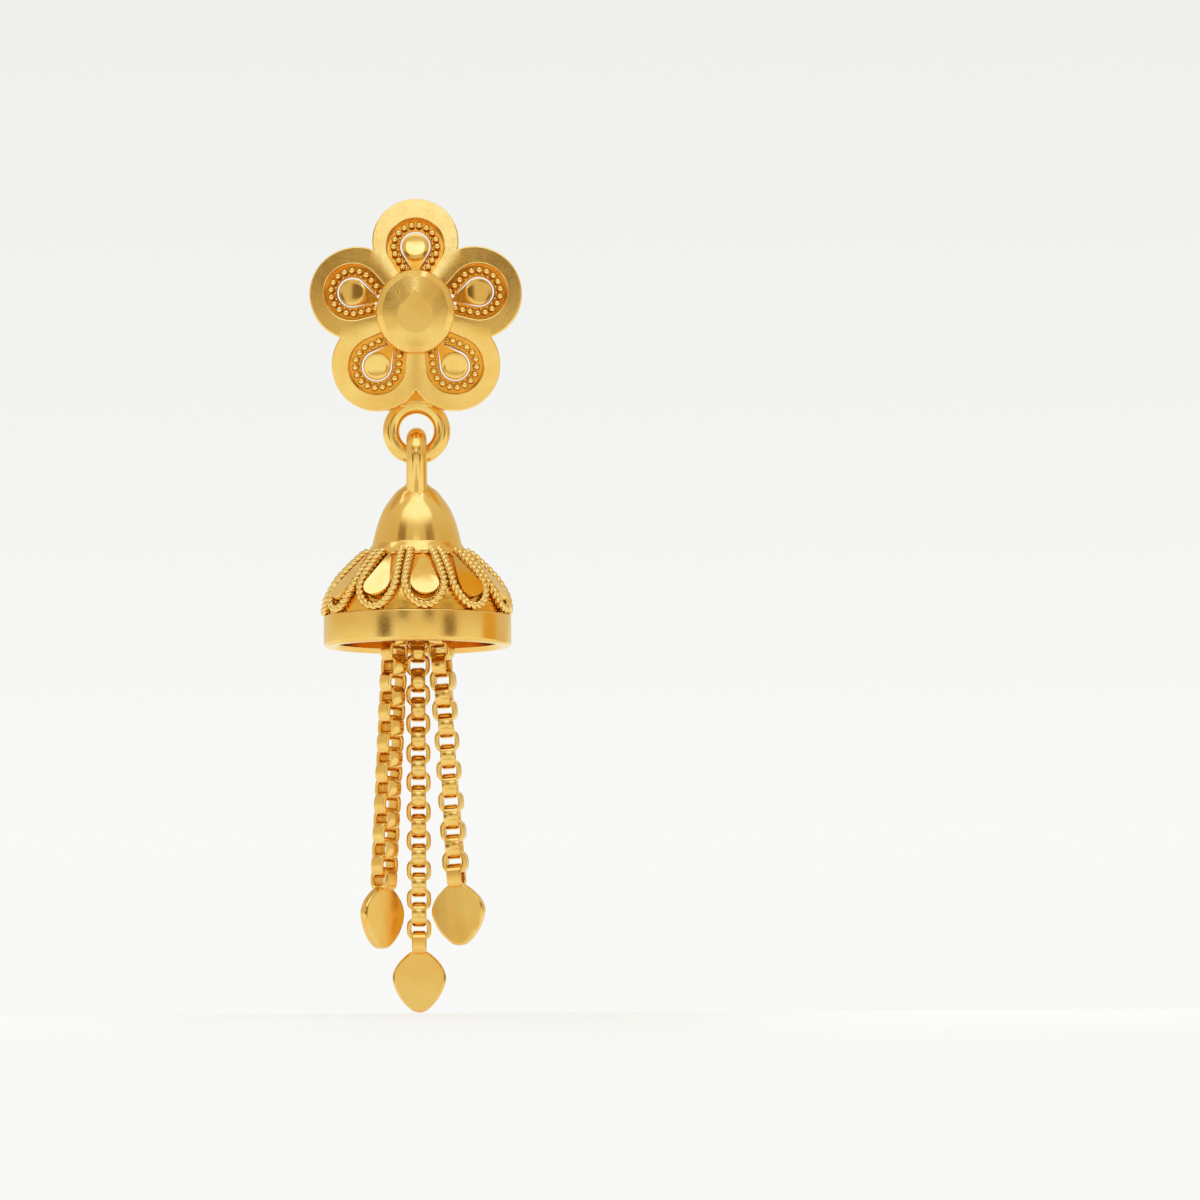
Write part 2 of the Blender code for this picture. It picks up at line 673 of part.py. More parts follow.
def chain_places(chain):
    """The matrix of every link from the hoop down, the leaf's own link last."""
    turn = math.radians(chain["start"])
    top = Vector((HOOP_RADIUS * math.cos(turn), HANG_Y + HOOP_RADIUS * math.sin(turn), 0))
    top.z = HOOP_Z + HOOP_WIRE + SEAM - (LINK_HEIGHT / 2 - LINK_BAR)
    foot = Vector((chain["foot"], top.y, chain["foot_z"]))
    run = foot - top
    count = chain["links"]
    breaks = math.ceil(count / LINKS_JOINED)
    step = (run.length - breaks * STRETCH_STEP) / (count - breaks)
    down = run.normalized()
    tilt = Vector((0, 0, -1)).rotation_difference(down).to_matrix().to_4x4()
    first, middle, last = chain["turns"]
    places = []
    distance = 0
    for index in range(count + 1):
        if index:
            distance += STRETCH_STEP if index % LINKS_JOINED == 0 or index == count else step
        share = index / count
        angle = first + (middle - first) * min(share * 2, 1) + (last - middle) * max(share * 2 - 1, 0)
        angle += 90 * ((count - index + 1) % 2)
        spin = Matrix.Rotation(math.radians(angle), 4, "Z")
        places.append(Matrix.Translation(top + down * distance) @ tilt @ spin)
    return places


def chain_stretch(name, places, parent):
    """A short stretch of links: every second link, with the links between them joined on."""
    shapes = []
    for start in (0, 1):
        work = bmesh.new()
        for place in places[start::2]:
            add_link(work, place)
        shapes.append(mesh_from(work, name))
    part = add_part(name, shapes[0], parent, 0.18)
    join_to(part, add_joined_shape(name + "_between", shapes[1], parent))


def leaf_outline():
    """A lozenge with rounded corners, its widest part on y = 0."""
    corners = [
        (Vector((LEAF_HALF_WIDTH, 0)), LEAF_SIDE_RADIUS),
        (Vector((0, LEAF_ABOVE)), LEAF_TOP_RADIUS),
        (Vector((-LEAF_HALF_WIDTH, 0)), LEAF_SIDE_RADIUS),
        (Vector((0, -LEAF_BELOW)), LEAF_TIP_RADIUS),
    ]
    points = []
    for index, (corner, radius) in enumerate(corners):
        arriving = (corner - corners[index - 1][0]).normalized()
        leaving = (corners[(index + 1) % len(corners)][0] - corner).normalized()
        turn = arriving.angle(leaving)
        inward = (leaving - arriving).normalized()
        centre = corner + inward * radius / math.cos(turn / 2)
        first = math.atan2(-arriving.x, arriving.y)
        steps = math.ceil(turn / LEAF_STEP)
        for step in range(steps + 1):
            angle = first + turn * step / steps
            points.append(centre + radius * Vector((math.cos(angle), math.sin(angle))))
    return points


def leaf(name, place, parent):
    """A flat leaf with chamfered edges, soldered into the last link of its chain."""
    mesh = plate(name, [leaf_outline()], LEAF_THICKNESS / 2, LEAF_THICKNESS)
    chamfered(mesh, LEAF_CHAMFER, lambda edge: abs(edge.verts[0].co.z - edge.verts[1].co.z) < LEVEL)
    facing = Matrix.Translation((0, 0, -LEAF_DROP)) @ Matrix.Rotation(math.pi / 2, 4, "X")
    mesh.transform(place @ Matrix.Rotation(-math.pi / 2, 4, "Z") @ facing)
    part = add_part(name, mesh, parent, 0.3)
    work = bmesh.new()
    add_link(work, place)
    join_to(part, add_joined_shape(name + "_link", mesh_from(work, name + "_link"), parent))


def chain_hanger(parent):
    """The plain hoop inside the bell that the chains hang on, with three spokes to the skirt."""
    level = Matrix.Translation((0, HANG_Y, HOOP_Z))
    hoop = torus("chain_hanger", HOOP_RADIUS, HOOP_WIRE, HOOP_STEPS, SPOKE_SIDES, level)
    part = add_part("chain_hanger", hoop, parent, 0.3)
    length = SPOKE_REACH - HOOP_RADIUS
    outward = Matrix.Translation((HOOP_RADIUS + length / 2, 0, 0)) @ Matrix.Rotation(math.pi / 2, 4, "Y")
    for index, angle in enumerate(SPOKE_ANGLES):
        work = bmesh.new()
        bmesh.ops.create_cone(
            work, cap_ends=True, segments=SPOKE_SIDES, radius1=SPOKE_RADIUS, radius2=SPOKE_RADIUS,
            depth=length, matrix=level @ Matrix.Rotation(math.radians(angle), 4, "Z") @ outward,
        )
        join_to(part, add_joined_shape(f"spoke_{index + 1}", mesh_from(work, "spoke"), parent))


def build():
    top = add_empty("top", (0, 0, 0))
    drop = add_empty("drop", PIVOT)
    bpy.context.view_layer.update()
    add_part("flower_plate", flower_plate(), top, 0.3)
    for index, petal in enumerate(PETALS, start=1):
        add_part(f"bead_loop_{index}", bead_loop(petal["angle"]), top, 0.22, DEEP_GOLD)
        petal_disc(f"petal_disc_{index}", petal["angle"], top)
    add_part("flower_boss", flower_boss(), top, 0.3)
    add_part("ear_post", ear_post(), top, 0.25)
    hanging_ring(top)
    bell_cap(drop)
    bell_skirt(drop)
    for index in range(ROPE_LOOPS):
        centre = ROPE_LOOP_TURN + math.tau * index / ROPE_LOOPS
        add_part(f"rope_loop_{index + 1}", rope_loop("rope_loop", centre), drop, 0.15)
    add_turned("bell_band", BAND_PROFILE, BAND_STEPS, drop, 0.3)
    chain_hanger(drop)
    for side, chain in CHAINS.items():
        places = chain_places(chain)
        for start in range(0, chain["links"], LINKS_JOINED):
            stretch = places[start : min(start + LINKS_JOINED, chain["links"])]
            chain_stretch(f"chain_{side}_{start // LINKS_JOINED + 1}", stretch, drop)
        leaf(f"leaf_{side}", places[-1], drop)


build()
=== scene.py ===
# %% [markdown]
# # A drop earring with a bell
#
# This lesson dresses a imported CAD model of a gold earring: a flower stud with rows of tiny beads, a domed
# bell with loops of twisted wire, and three box chains that end in flat leaves.
#
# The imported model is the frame. It holds every solid in its place in metres, and the looks are built round
# it. Nothing in the frame is moved. Detailed pieces take the place of the plain solids, and each one rides
# on the rigid body that its solids belong to, so the bell can still swing below the stud.

# %% Load the frame
import math

import bmesh
import bpy
from mathutils import Matrix, Vector
from mathutils.geometry import interpolate_bezier


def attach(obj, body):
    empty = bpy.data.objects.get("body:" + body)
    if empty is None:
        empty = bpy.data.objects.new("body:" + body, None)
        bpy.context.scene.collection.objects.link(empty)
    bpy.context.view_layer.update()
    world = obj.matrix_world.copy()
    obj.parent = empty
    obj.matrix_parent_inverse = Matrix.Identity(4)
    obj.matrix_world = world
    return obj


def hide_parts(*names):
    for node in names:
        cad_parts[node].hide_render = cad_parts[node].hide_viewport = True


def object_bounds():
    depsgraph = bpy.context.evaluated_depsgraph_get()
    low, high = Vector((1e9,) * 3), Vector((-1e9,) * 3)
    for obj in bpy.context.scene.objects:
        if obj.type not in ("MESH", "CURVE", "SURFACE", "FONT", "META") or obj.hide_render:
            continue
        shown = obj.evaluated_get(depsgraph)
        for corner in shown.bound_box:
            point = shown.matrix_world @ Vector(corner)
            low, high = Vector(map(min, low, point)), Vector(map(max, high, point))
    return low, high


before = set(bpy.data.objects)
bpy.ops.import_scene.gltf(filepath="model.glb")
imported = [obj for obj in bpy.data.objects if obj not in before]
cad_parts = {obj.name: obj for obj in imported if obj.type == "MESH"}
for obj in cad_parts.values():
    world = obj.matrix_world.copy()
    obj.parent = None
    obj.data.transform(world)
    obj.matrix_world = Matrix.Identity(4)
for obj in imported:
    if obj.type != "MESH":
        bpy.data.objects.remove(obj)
cad_low, cad_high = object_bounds()
print("size in mm:", [round(side * 1000, 2) for side in cad_high - cad_low])

# %% [markdown]
# ## The camera
#
# Jewellery is shown from a distance through a long lens, so that near and far parts keep the same scale and
# every link of a chain is seen from the same height. The lens looks up by a few degrees, which is why the
# bell shows its lower rim. The earring stands left of the middle: room is left on the right, where the
# other earring of the pair would hang. It hangs by a hair out of plumb, so the camera is rolled to match.

# %% Set the camera
MM = 0.001
AIM = Vector((0.0, -0.10, -16.38)) * MM
STAND_OFF = 569.0 * MM
LOOK_UP = math.radians(4.8)
BESIDE = 10.11 * MM
ROLL = math.radians(0.34)

lens = bpy.data.cameras.new("studio_camera")
lens.lens = 300.0
lens.sensor_width = 36.0
lens.clip_start = 0.005
lens.clip_end = 20.0
camera = bpy.data.objects.new("studio_camera", lens)
camera.location = AIM + Vector((BESIDE, -STAND_OFF * math.cos(LOOK_UP), -STAND_OFF * math.sin(LOOK_UP)))
camera.rotation_euler = (math.pi / 2 + LOOK_UP, ROLL, 0)
scene = bpy.context.scene
scene.collection.objects.link(camera)
scene.camera = camera
scene.view_settings.view_transform = "Standard"
print("camera at", [round(part / MM, 1) for part in camera.location], "mm")

# %% [markdown]
# ## The studio light
#
# Polished gold has little colour of its own to show: it shows the studio. In a studio for jewellery a tent
# of white paper stands round the piece, with soft lamps and a few dark cards in it that give the metal its
# contrast. Area lights could do the same, but a tent painted into the world's shader renders with less noise
# and is easy to tune. The tent is bright above, pale below, and has a darker belt at the height of the lens.
# Each card is a soft patch with a direction, a size and a brightness.

# %% Helpers that add and join nodes
def set_sockets(tree, node, **inputs):
    """Set a node's inputs by name or number: a plain value is stored, and a socket is joined."""
    for name, value in inputs.items():
        socket = node.inputs[int(name[1:])] if name[0] == "_" else node.inputs[name.replace("_", " ")]
        if isinstance(value, bpy.types.NodeSocket):
            tree.links.new(value, socket)
        else:
            socket.default_value = value


def add_node(tree, kind, place=(0, 0), label="", **inputs):
    """A new node with its inputs set."""
    node = tree.nodes.new(kind)
    node.location = place
    node.label = label
    set_sockets(tree, node, **inputs)
    return node


def sum_node(tree, operation, first, second=0.0, third=0.0, place=(0, 0)):
    """One sum of two or three numbers or sockets."""
    node = add_node(tree, "ShaderNodeMath", place, _0=first, _1=second, _2=third)
    node.operation = operation
    return node.outputs[0]


def add_ramp(tree, place, label, stops, share):
    """A colour ramp with stops of position and colour; returns its colour."""
    ramp = add_node(tree, "ShaderNodeValToRGB", place, label, Fac=share)
    elements = ramp.color_ramp.elements
    elements[0].position, elements[1].position = stops[0][0], stops[-1][0]
    for position, _ in stops[1:-1]:
        elements.new(position)
    for element, (_, colour) in zip(elements, stops):
        element.color = (*colour, 1)
    return ramp.outputs[0]


# %% The tent's brightness, from below to above
TENT_HEIGHTS = (  # elevation in degrees, brightness
    (-90, 1.00), (-24, 1.00), (-14, 1.06), (-4, 1.02), (1.5, 0.87), (4, 0.76), (8, 0.69), (16, 0.66), (30, 0.66),
    (40, 0.70), (90, 0.76),
)


def height_share(elevation):
    """Where an elevation lies on the ramp, which runs over its sine."""
    return (math.sin(math.radians(elevation)) + 1) / 2


world = bpy.data.worlds.new("paper_tent")
world.use_nodes = True
scene.world = world
tent = world.node_tree
tent.nodes.clear()
direction = add_node(tent, "ShaderNodeTexCoord", (-1600, 0)).outputs["Generated"]
split = add_node(tent, "ShaderNodeSeparateXYZ", (-1400, 0), Vector=direction)
east, south, up = split.outputs[0], sum_node(tent, "MULTIPLY", split.outputs[1], -1.0), split.outputs[2]
share = sum_node(tent, "MULTIPLY_ADD", up, 0.5, 0.5, (-1200, 200))
heights = [(height_share(angle), [brightness] * 3) for angle, brightness in TENT_HEIGHTS]
ramp = add_ramp(tent, (-1000, 200), "from below to above", heights, share)
light = add_node(tent, "ShaderNodeRGBToBW", (-700, 200), Color=ramp).outputs[0]
print("heights in the tent:", len(heights))

# %% The cards in the tent
CARDS = (  # azimuth and elevation of the middle, half width and half height, softness (degrees), brightness
    ("overhead_back", 180, 60, 70, 27, 8, 0.50),
    ("overhead_panel", 0, 61, 56, 21, 8, 1.36),
    ("high_lamp", 35, 77, 50, 5, 3, 1.50),
    ("left_lamp", -105, 62, 14, 8, 4, 1.50),
    ("window", -1, 25.0, 9, 4.9, 2.6, 1.50),
    ("left_shade", -16, 13.8, 6.8, 5.6, 2.6, 0.18),
    ("right_shade", 15.5, 13.8, 5.6, 5.6, 2.6, 0.14),
    ("left_dim", -43, 30.5, 12, 5.5, 8, 0.24),
    ("right_dim", 38, 30.5, 12, 5.5, 8, 0.26),
    ("left_strip", -40, 3, 8.5, 9, 9, 0.11),
    ("right_strip", 41, 3, 8, 9, 9, 0.15),
    ("lens", -1, -12, 4, 2.5, 3, 0.40),
    ("low_shade", 0, -16.8, 24, 2.8, 2.2, 0.58),
    ("far_right", 128, 12, 16, 30, 10, 0.66),
)
azimuth = sum_node(tent, "DEGREES", sum_node(tent, "ARCTAN2", east, south), place=(-1200, -200))
elevation = sum_node(tent, "DEGREES", sum_node(tent, "ARCSINE", up), place=(-1200, -400))


def soft_edge(distance, reach, softness, place):
    """1 inside a reach and 0 outside it, with a soft edge."""
    edge = add_node(
        tent, "ShaderNodeMapRange", place, Value=distance,
        From_Min=reach - softness / 2, From_Max=reach + softness / 2, To_Min=1.0, To_Max=0.0,
    )
    edge.interpolation_type = "SMOOTHSTEP"
    return edge.outputs[0]


def card_mask(side, height, half_width, half_height, softness, line):
    """1 where a direction meets a card and 0 elsewhere."""
    turned = sum_node(tent, "WRAP", sum_node(tent, "SUBTRACT", azimuth, side), 180.0, -180.0, (-900, line))
    across = sum_node(tent, "ABSOLUTE", turned, place=(-740, line))
    upright = sum_node(tent, "ABSOLUTE", sum_node(tent, "SUBTRACT", elevation, height), place=(-740, line - 120))
    inside_width = soft_edge(across, half_width, softness, (-560, line))
    inside_height = soft_edge(upright, half_height, softness, (-560, line - 120))
    return sum_node(tent, "MULTIPLY", inside_width, inside_height, place=(-380, line))


CARD_ROW = 260  # how far apart the cards' rows of nodes are laid out
for row, (name, *patch, brightness) in enumerate(CARDS):
    line = -700 - CARD_ROW * row
    card = add_node(tent, "ShaderNodeMix", (-200, line), name, Factor=card_mask(*patch, line), A=light, B=brightness)
    light = card.outputs[0]
print("cards in the tent:", len(CARDS))

# %% Warm shadows, cool highlights, and the amber cards
PAPER_TONES = (  # brightness, and the colour that the paper has there
    (0.0, (0.0, 0.0, 0.0)), (0.27, (0.35, 0.27, 0.15)), (0.51, (0.61, 0.51, 0.33)), (0.68, (0.74, 0.68, 0.50)),
    (0.98, (0.94, 0.98, 0.86)), (1.28, (1.12, 1.28, 1.36)), (1.50, (1.22, 1.50, 2.05)),
)
BRIGHTEST = PAPER_TONES[-1][0]
tones = [(brightness / BRIGHTEST, colour) for brightness, colour in PAPER_TONES]
light = add_ramp(tent, (0, -200), "paper tones", tones, sum_node(tent, "DIVIDE", light, BRIGHTEST))

AMBER = (0.72, 0.44, 0.06, 1)
AMBER_CARDS = (("beside", 101, 3, 13, 10, 8), ("above_beside", 118, 50.5, 10, 6, 4))
for row, (name, *patch) in enumerate(AMBER_CARDS, len(CARDS)):
    line = -700 - CARD_ROW * row
    card = add_node(tent, "ShaderNodeMix", (200, line), name, _0=card_mask(*patch, line), _6=light, _7=AMBER)
    card.data_type = "RGBA"
    light = card.outputs[2]
print("amber cards:", len(AMBER_CARDS))

# %% [markdown]
# The lens itself looks past the earring at plain pale paper, a little greyer at the top than at the foot.
# The Light Path node tells the two apart: what the lens sees directly is the paper, and what the metal
# mirrors is the tent.

# %% The paper behind, and the world's output
PAPER = (  # elevation in degrees, colour
    (1.0, (0.940, 0.942, 0.922)), (3.5, (0.948, 0.952, 0.930)), (5.6, (0.905, 0.910, 0.885)),
    (8.3, (0.860, 0.868, 0.826)),
)
LOWEST, HIGHEST = -10.0, 20.0
paper_height = add_node(tent, "ShaderNodeMapRange", (-400, 500), Value=elevation, From_Min=LOWEST, From_Max=HIGHEST)
papers = [((angle - LOWEST) / (HIGHEST - LOWEST), colour) for angle, colour in PAPER]
paper = add_ramp(tent, (-200, 500), "paper", papers, paper_height.outputs[0])
shown = add_node(tent, "ShaderNodeBackground", (50, 400), Color=paper)
mirrored = add_node(tent, "ShaderNodeBackground", (50, 200), Color=light)
seen_by_lens = add_node(tent, "ShaderNodeLightPath", (50, 700)).outputs["Is Camera Ray"]
either = add_node(tent, "ShaderNodeMixShader", (250, 300), _0=seen_by_lens, _1=mirrored.outputs[0], _2=shown.outputs[0])
add_node(tent, "ShaderNodeOutputWorld", (450, 300), Surface=either.outputs[0])
print("the world has", len(tent.nodes), "nodes")

# %% [markdown]
# ## The floor
#
# The leaves hang just above a pale sheet of paper. The sheet lies flat under the earring and behind it, and
# rolls down towards the lens in front, as it would over the edge of a table, so that a lens that looks up
# still sees it. It thins out with its distance from the earring and melts into the paper behind. Close by,
# it catches the leaves' faint shadow and throws light back into the bell.

# %% Make the floor
FLOOR_RISE = 0.07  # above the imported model's lowest point: the dressed leaves end a little higher
FLOOR_REACH = 420.0
FLOOR_NEAR, FLOOR_FAR = 8.0, 60.0
ROLL_START, ROLL_CURVE, ROLL_SLOPE = 1.6, 6.0, math.tan(math.radians(14))
ROLL_CUTS = 8
WELD = 0.0002  # points closer than this count as one


def cut_across(work, middle, across):
    """Cut a whole shape along a plane, given by a point on it and the direction across it."""
    everything = [*work.verts, *work.edges, *work.faces]
    bmesh.ops.bisect_plane(work, geom=everything, dist=WELD, plane_co=middle, plane_no=across)


floor_height = cad_low.z / MM + FLOOR_RISE
work = bmesh.new()
bmesh.ops.create_circle(work, cap_ends=True, segments=96, radius=FLOOR_REACH)
for step in range(ROLL_CUTS + 1):
    cut_across(work, (0, ROLL_START - ROLL_CURVE * step / ROLL_CUTS, 0), (0, 1, 0))
for vert in work.verts:
    ahead = max(ROLL_START - vert.co.y, 0)
    rolled = min(ahead, ROLL_CURVE)
    vert.co.z = floor_height - ROLL_SLOPE * (rolled**2 / (2 * ROLL_CURVE) + ahead - rolled)
bmesh.ops.scale(work, vec=(MM, MM, MM), verts=work.verts)
floor_mesh = bpy.data.meshes.new("floor")
work.to_mesh(floor_mesh)
work.free()
floor_mesh.shade_smooth()
floor = bpy.data.objects.new("floor", floor_mesh)
scene.collection.objects.link(floor)

sheet = bpy.data.materials.new("pale_sheet")
sheet.use_nodes = True
tree = sheet.node_tree
shader = tree.nodes["Principled BSDF"]
where = add_node(tree, "ShaderNodeTexCoord", (-900, 0)).outputs["Object"]
flat = add_node(tree, "ShaderNodeVectorMath", (-700, 0), _0=where, _1=(1, 1, 0))
flat.operation = "MULTIPLY"
far = add_node(tree, "ShaderNodeVectorMath", (-500, 0), _0=flat.outputs[0])
far.operation = "LENGTH"
fading = add_node(
    tree, "ShaderNodeMapRange", (-300, 0), Value=far.outputs["Value"],
    From_Min=FLOOR_NEAR * MM, From_Max=FLOOR_FAR * MM, To_Min=1.0, To_Max=0.0,
)
fading.interpolation_type = "SMOOTHSTEP"
tooth = add_node(tree, "ShaderNodeTexNoise", (-700, -300), "paper tooth", Vector=where, Scale=900.0, Detail=3.0)
relief = add_node(tree, "ShaderNodeBump", (-300, -300), Height=tooth.outputs["Fac"], Strength=0.05, Distance=0.0001)
set_sockets(
    tree, shader, Base_Color=(0.95, 0.95, 0.95, 1), Emission_Color=(0.80, 0.84, 1.0, 1), Emission_Strength=0.245,
    Roughness=0.9, Specular_IOR_Level=0.1, Alpha=fading.outputs[0], Normal=relief.outputs[0],
)
floor_mesh.materials.append(sheet)
print("floor at", round(floor_height, 2), "mm")

# %% [markdown]
# ## The golds
#
# The whole earring is one yellow gold of about 22 karat. What changes from part to part is the finish,
# and in the hollows a painted shade. The discs, the dome and the ring are polished, the petals and the band
# are brushed satin, and the beads and ropes are bright but soft from being fired and pickled. Each finish is
# a material of its own, named after its slot. The parts in hollows take a deep orange gold that paints their
# shade: the troughs under the beads, the sheets under the discs, the solder in the lug's notch and the hoop
# inside the bell. Two more serve pieces that differ from the rest of their slot: the bell's skirt, whose
# deeper gold is painted shade under the ropes and inside the bell, and the softer polish of the dome and the
# ring. What the finishes share goes into node groups, so that it is made once and each finish sets its own
# amounts: the brushing that the satin paper leaves, and the slow change of tone.

# %% The node group for brushing marks
def group_socket(group, name, kind, value=None, outward=False):
    """One named socket of a node group."""
    socket = group.interface.new_socket(name, in_out="OUTPUT" if outward else "INPUT", socket_type=kind)
    if value is not None:
        socket.default_value = value
    return socket


brushing = bpy.data.node_groups.new("brushing_marks", "ShaderNodeTree")
group_socket(brushing, "Grain", "NodeSocketFloat", 9000.0)
group_socket(brushing, "Stretch", "NodeSocketVector", (1.0, 1.0, 1.0))
group_socket(brushing, "Height", "NodeSocketFloat", outward=True)
group_socket(brushing, "Marks", "NodeSocketFloat", outward=True)
source = add_node(brushing, "NodeGroupInput", (-1000, 0))
where = add_node(brushing, "ShaderNodeTexCoord", (-1000, 300)).outputs["Object"]
drawn = add_node(brushing, "ShaderNodeVectorMath", (-800, 200), _0=where, _1=source.outputs["Stretch"])
drawn.operation = "MULTIPLY"
fine = add_node(
    brushing, "ShaderNodeTexNoise", (-600, 200), "fine marks",
    Vector=drawn.outputs[0], Scale=source.outputs["Grain"], Detail=4.0, Roughness=0.7,
)
coarse_scale = sum_node(brushing, "MULTIPLY", source.outputs["Grain"], 0.22, place=(-800, -100))
coarse = add_node(
    brushing, "ShaderNodeTexNoise", (-600, -100), "coarse marks",
    Vector=drawn.outputs[0], Scale=coarse_scale, Detail=2.0,
)
faint = sum_node(brushing, "MULTIPLY", coarse.outputs["Fac"], 0.3)
both = sum_node(brushing, "MULTIPLY_ADD", fine.outputs["Fac"], 0.7, faint, (-400, 100))
marks = add_node(brushing, "ShaderNodeMapRange", (-200, 0), Value=both, From_Min=0.35, From_Max=0.65)
add_node(brushing, "NodeGroupOutput", (0, 100), Height=both, Marks=marks.outputs[0])
print("group:", brushing.name)

# %% The node group for slow changes of tone and for worn edges
tone = bpy.data.node_groups.new("gold_tone", "ShaderNodeTree")
group_socket(tone, "Gold", "NodeSocketColor", (0.95, 0.62, 0.15, 1))
group_socket(tone, "Deep Gold", "NodeSocketColor", (0.88, 0.48, 0.08, 1))
group_socket(tone, "Patch Size", "NodeSocketFloat", 700.0)
group_socket(tone, "Colour", "NodeSocketColor", outward=True)
group_socket(tone, "Edge", "NodeSocketFloat", outward=True)
source = add_node(tone, "NodeGroupInput", (-900, 0))
where = add_node(tone, "ShaderNodeTexCoord", (-900, 300)).outputs["Object"]
patches = add_node(
    tone, "ShaderNodeTexNoise", (-650, 200), "patches",
    Vector=where, Scale=source.outputs["Patch Size"], Detail=3.0,
)
amount = add_node(tone, "ShaderNodeMapRange", (-450, 200), Value=patches.outputs["Fac"], From_Min=0.38, From_Max=0.72)
rubbed = add_node(tone, "ShaderNodeNewGeometry", (-650, -200)).outputs["Pointiness"]
edge = add_node(tone, "ShaderNodeMapRange", (-450, -200), Value=rubbed, From_Min=0.50, From_Max=0.58)
deepened = add_node(
    tone, "ShaderNodeMix", (-200, 100), "deeper in patches",
    _0=amount.outputs[0], _6=source.outputs["Gold"], _7=source.outputs["Deep Gold"],
)
deepened.data_type = "RGBA"
add_node(tone, "NodeGroupOutput", (0, 0), Colour=deepened.outputs[2], Edge=edge.outputs[0])
print("group:", tone.name)

# %% Helpers that make one finish
def place_group(tree, group, place, **inputs):
    """One copy of a node group in a material, with its own amounts."""
    node = add_node(tree, "ShaderNodeGroup", place)
    node.node_tree = group
    set_sockets(tree, node, **inputs)
    return node


GOLD = (0.95, 0.63, 0.20, 1)
DEEP_GOLD = (0.92, 0.55, 0.14, 1)
FIRED = {"gold": (0.97, 0.69, 0.26, 1), "deep": (0.95, 0.62, 0.19, 1)}
PATCH_SIZE = 650.0
MARK_DEPTH = 0.01 * MM
RUBBED = 0.5  # how much smoother worn edges are, as a share of the polish
FINISHES = {}


def make_finish(slot, polish, marked, grain, relief, stretch=(1, 1, 1), gold=GOLD, deep=DEEP_GOLD):
    """A gold whose roughness runs from polish to marked where the brushing marks lie, and shines at worn edges."""
    finish = bpy.data.materials.new(slot)
    finish.use_nodes = True
    tree = finish.node_tree
    tones = place_group(tree, tone, (-900, 300), Gold=gold, Deep_Gold=deep, Patch_Size=PATCH_SIZE)
    brushed = place_group(tree, brushing, (-900, -100), Grain=grain, Stretch=stretch)
    rough = add_node(
        tree, "ShaderNodeMapRange", (-600, 0), Value=brushed.outputs["Marks"], To_Min=polish, To_Max=marked,
    )
    worn = sum_node(tree, "MULTIPLY", tones.outputs["Edge"], polish * RUBBED, place=(-600, -250))
    kept = sum_node(tree, "SUBTRACT", rough.outputs[0], worn, place=(-400, -100))
    raised = add_node(
        tree, "ShaderNodeBump", (-400, -400), Height=brushed.outputs["Height"], Strength=relief, Distance=MARK_DEPTH,
    )
    set_sockets(
        tree, tree.nodes["Principled BSDF"], Metallic=1.0,
        Base_Color=tones.outputs["Colour"], Roughness=kept, Normal=raised.outputs[0],
    )
    FINISHES[slot] = finish


# %% Make the nine finishes
make_finish("satin_gold", 0.14, 0.24, 9000.0, 0.55)
make_finish("leaf_gold", 0.16, 0.24, 11000.0, 0.12)
make_finish("beadwork_gold", 0.12, 0.20, 7000.0, 0.15, **FIRED)
make_finish("rope_gold", 0.13, 0.22, 7000.0, 0.18, **FIRED)
make_finish("chain_gold", 0.18, 0.28, 8000.0, 0.15)
# the skirt's gold is painted deeper, as shade under the ropes and inside the bell
make_finish("skirt_painted_shade_gold", 0.18, 0.30, 7000.0, 0.30, gold=(0.93, 0.54, 0.11, 1), deep=(0.88, 0.46, 0.07, 1))
# a deep orange gold as painted shade for the hollows: under the beads and discs, in the lug's notch, inside the bell
make_finish("recess_gold", 0.20, 0.34, 6000.0, 0.25, gold=(0.90, 0.42, 0.05, 1), deep=(0.82, 0.33, 0.03, 1))
make_finish("polished_gold", 0.06, 0.11, 5000.0, 0.06)
make_finish("soft_polish", 0.12, 0.17, 5000.0, 0.10)
print("finishes:", sorted(FINISHES))

# %% [markdown]
# ## From millimetres to a finished piece
#
# A goldsmith thinks in millimetres, so every shape is drawn in millimetres and made small at the very end.
# The last step of each piece is the same: weld what coincides, turn the faces outwards, scale to metres,
# mark the edges that stay crisp, and hand the piece to its body. Its place is in its vertices, so the
# object itself stays at the origin.

# %% Helpers that weld, scale and hand over a shape
BEVEL = {"offset_type": "OFFSET", "profile": 0.5, "material": -1}


def finish_piece(work, name, body, slot, *nodes, crisp=30, finish=None):
    """Turn a bmesh in millimetres into a piece that rides on a body and stands for its solids."""
    bmesh.ops.remove_doubles(work, verts=work.verts, dist=WELD)
    bmesh.ops.recalc_face_normals(work, faces=work.faces)
    bmesh.ops.scale(work, vec=(MM, MM, MM), verts=work.verts)
    mesh = bpy.data.meshes.new(name)
    work.to_mesh(mesh)
    work.free()
    mesh.materials.append(FINISHES[finish or slot])
    mesh.shade_smooth()
    mesh.set_sharp_from_angle(angle=math.radians(crisp))
    piece = bpy.data.objects.new(name, mesh)
    scene.collection.objects.link(piece)
    hand_over(piece, body, slot, *nodes)
    print(f"{name}: {len(mesh.polygons)} faces")


def hand_over(piece, body, slot, *nodes):
    """Let a piece ride on its body in place of its solids; the slot is not used."""
    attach(piece, body)
    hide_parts(*nodes)


def draw_line(work, points):
    """A line of edges through a few points; returns its vertices."""
    verts = [work.verts.new(Vector(point).to_3d()) for point in points]
    for start, end in zip(verts, verts[1:]):
        work.edges.new((start, end))
    return verts


# %% Helpers that spin and push parts of a shape
def verts_of(geometry):
    """The vertices among what an operator returned."""
    return [part for part in geometry if isinstance(part, bmesh.types.BMVert)]


def edges_of(geometry):
    """The edges among what an operator returned."""
    return [part for part in geometry if isinstance(part, bmesh.types.BMEdge)]


def edges_at(verts):
    """The edges that end at some vertices."""
    return list({edge for vert in verts for edge in vert.link_edges})


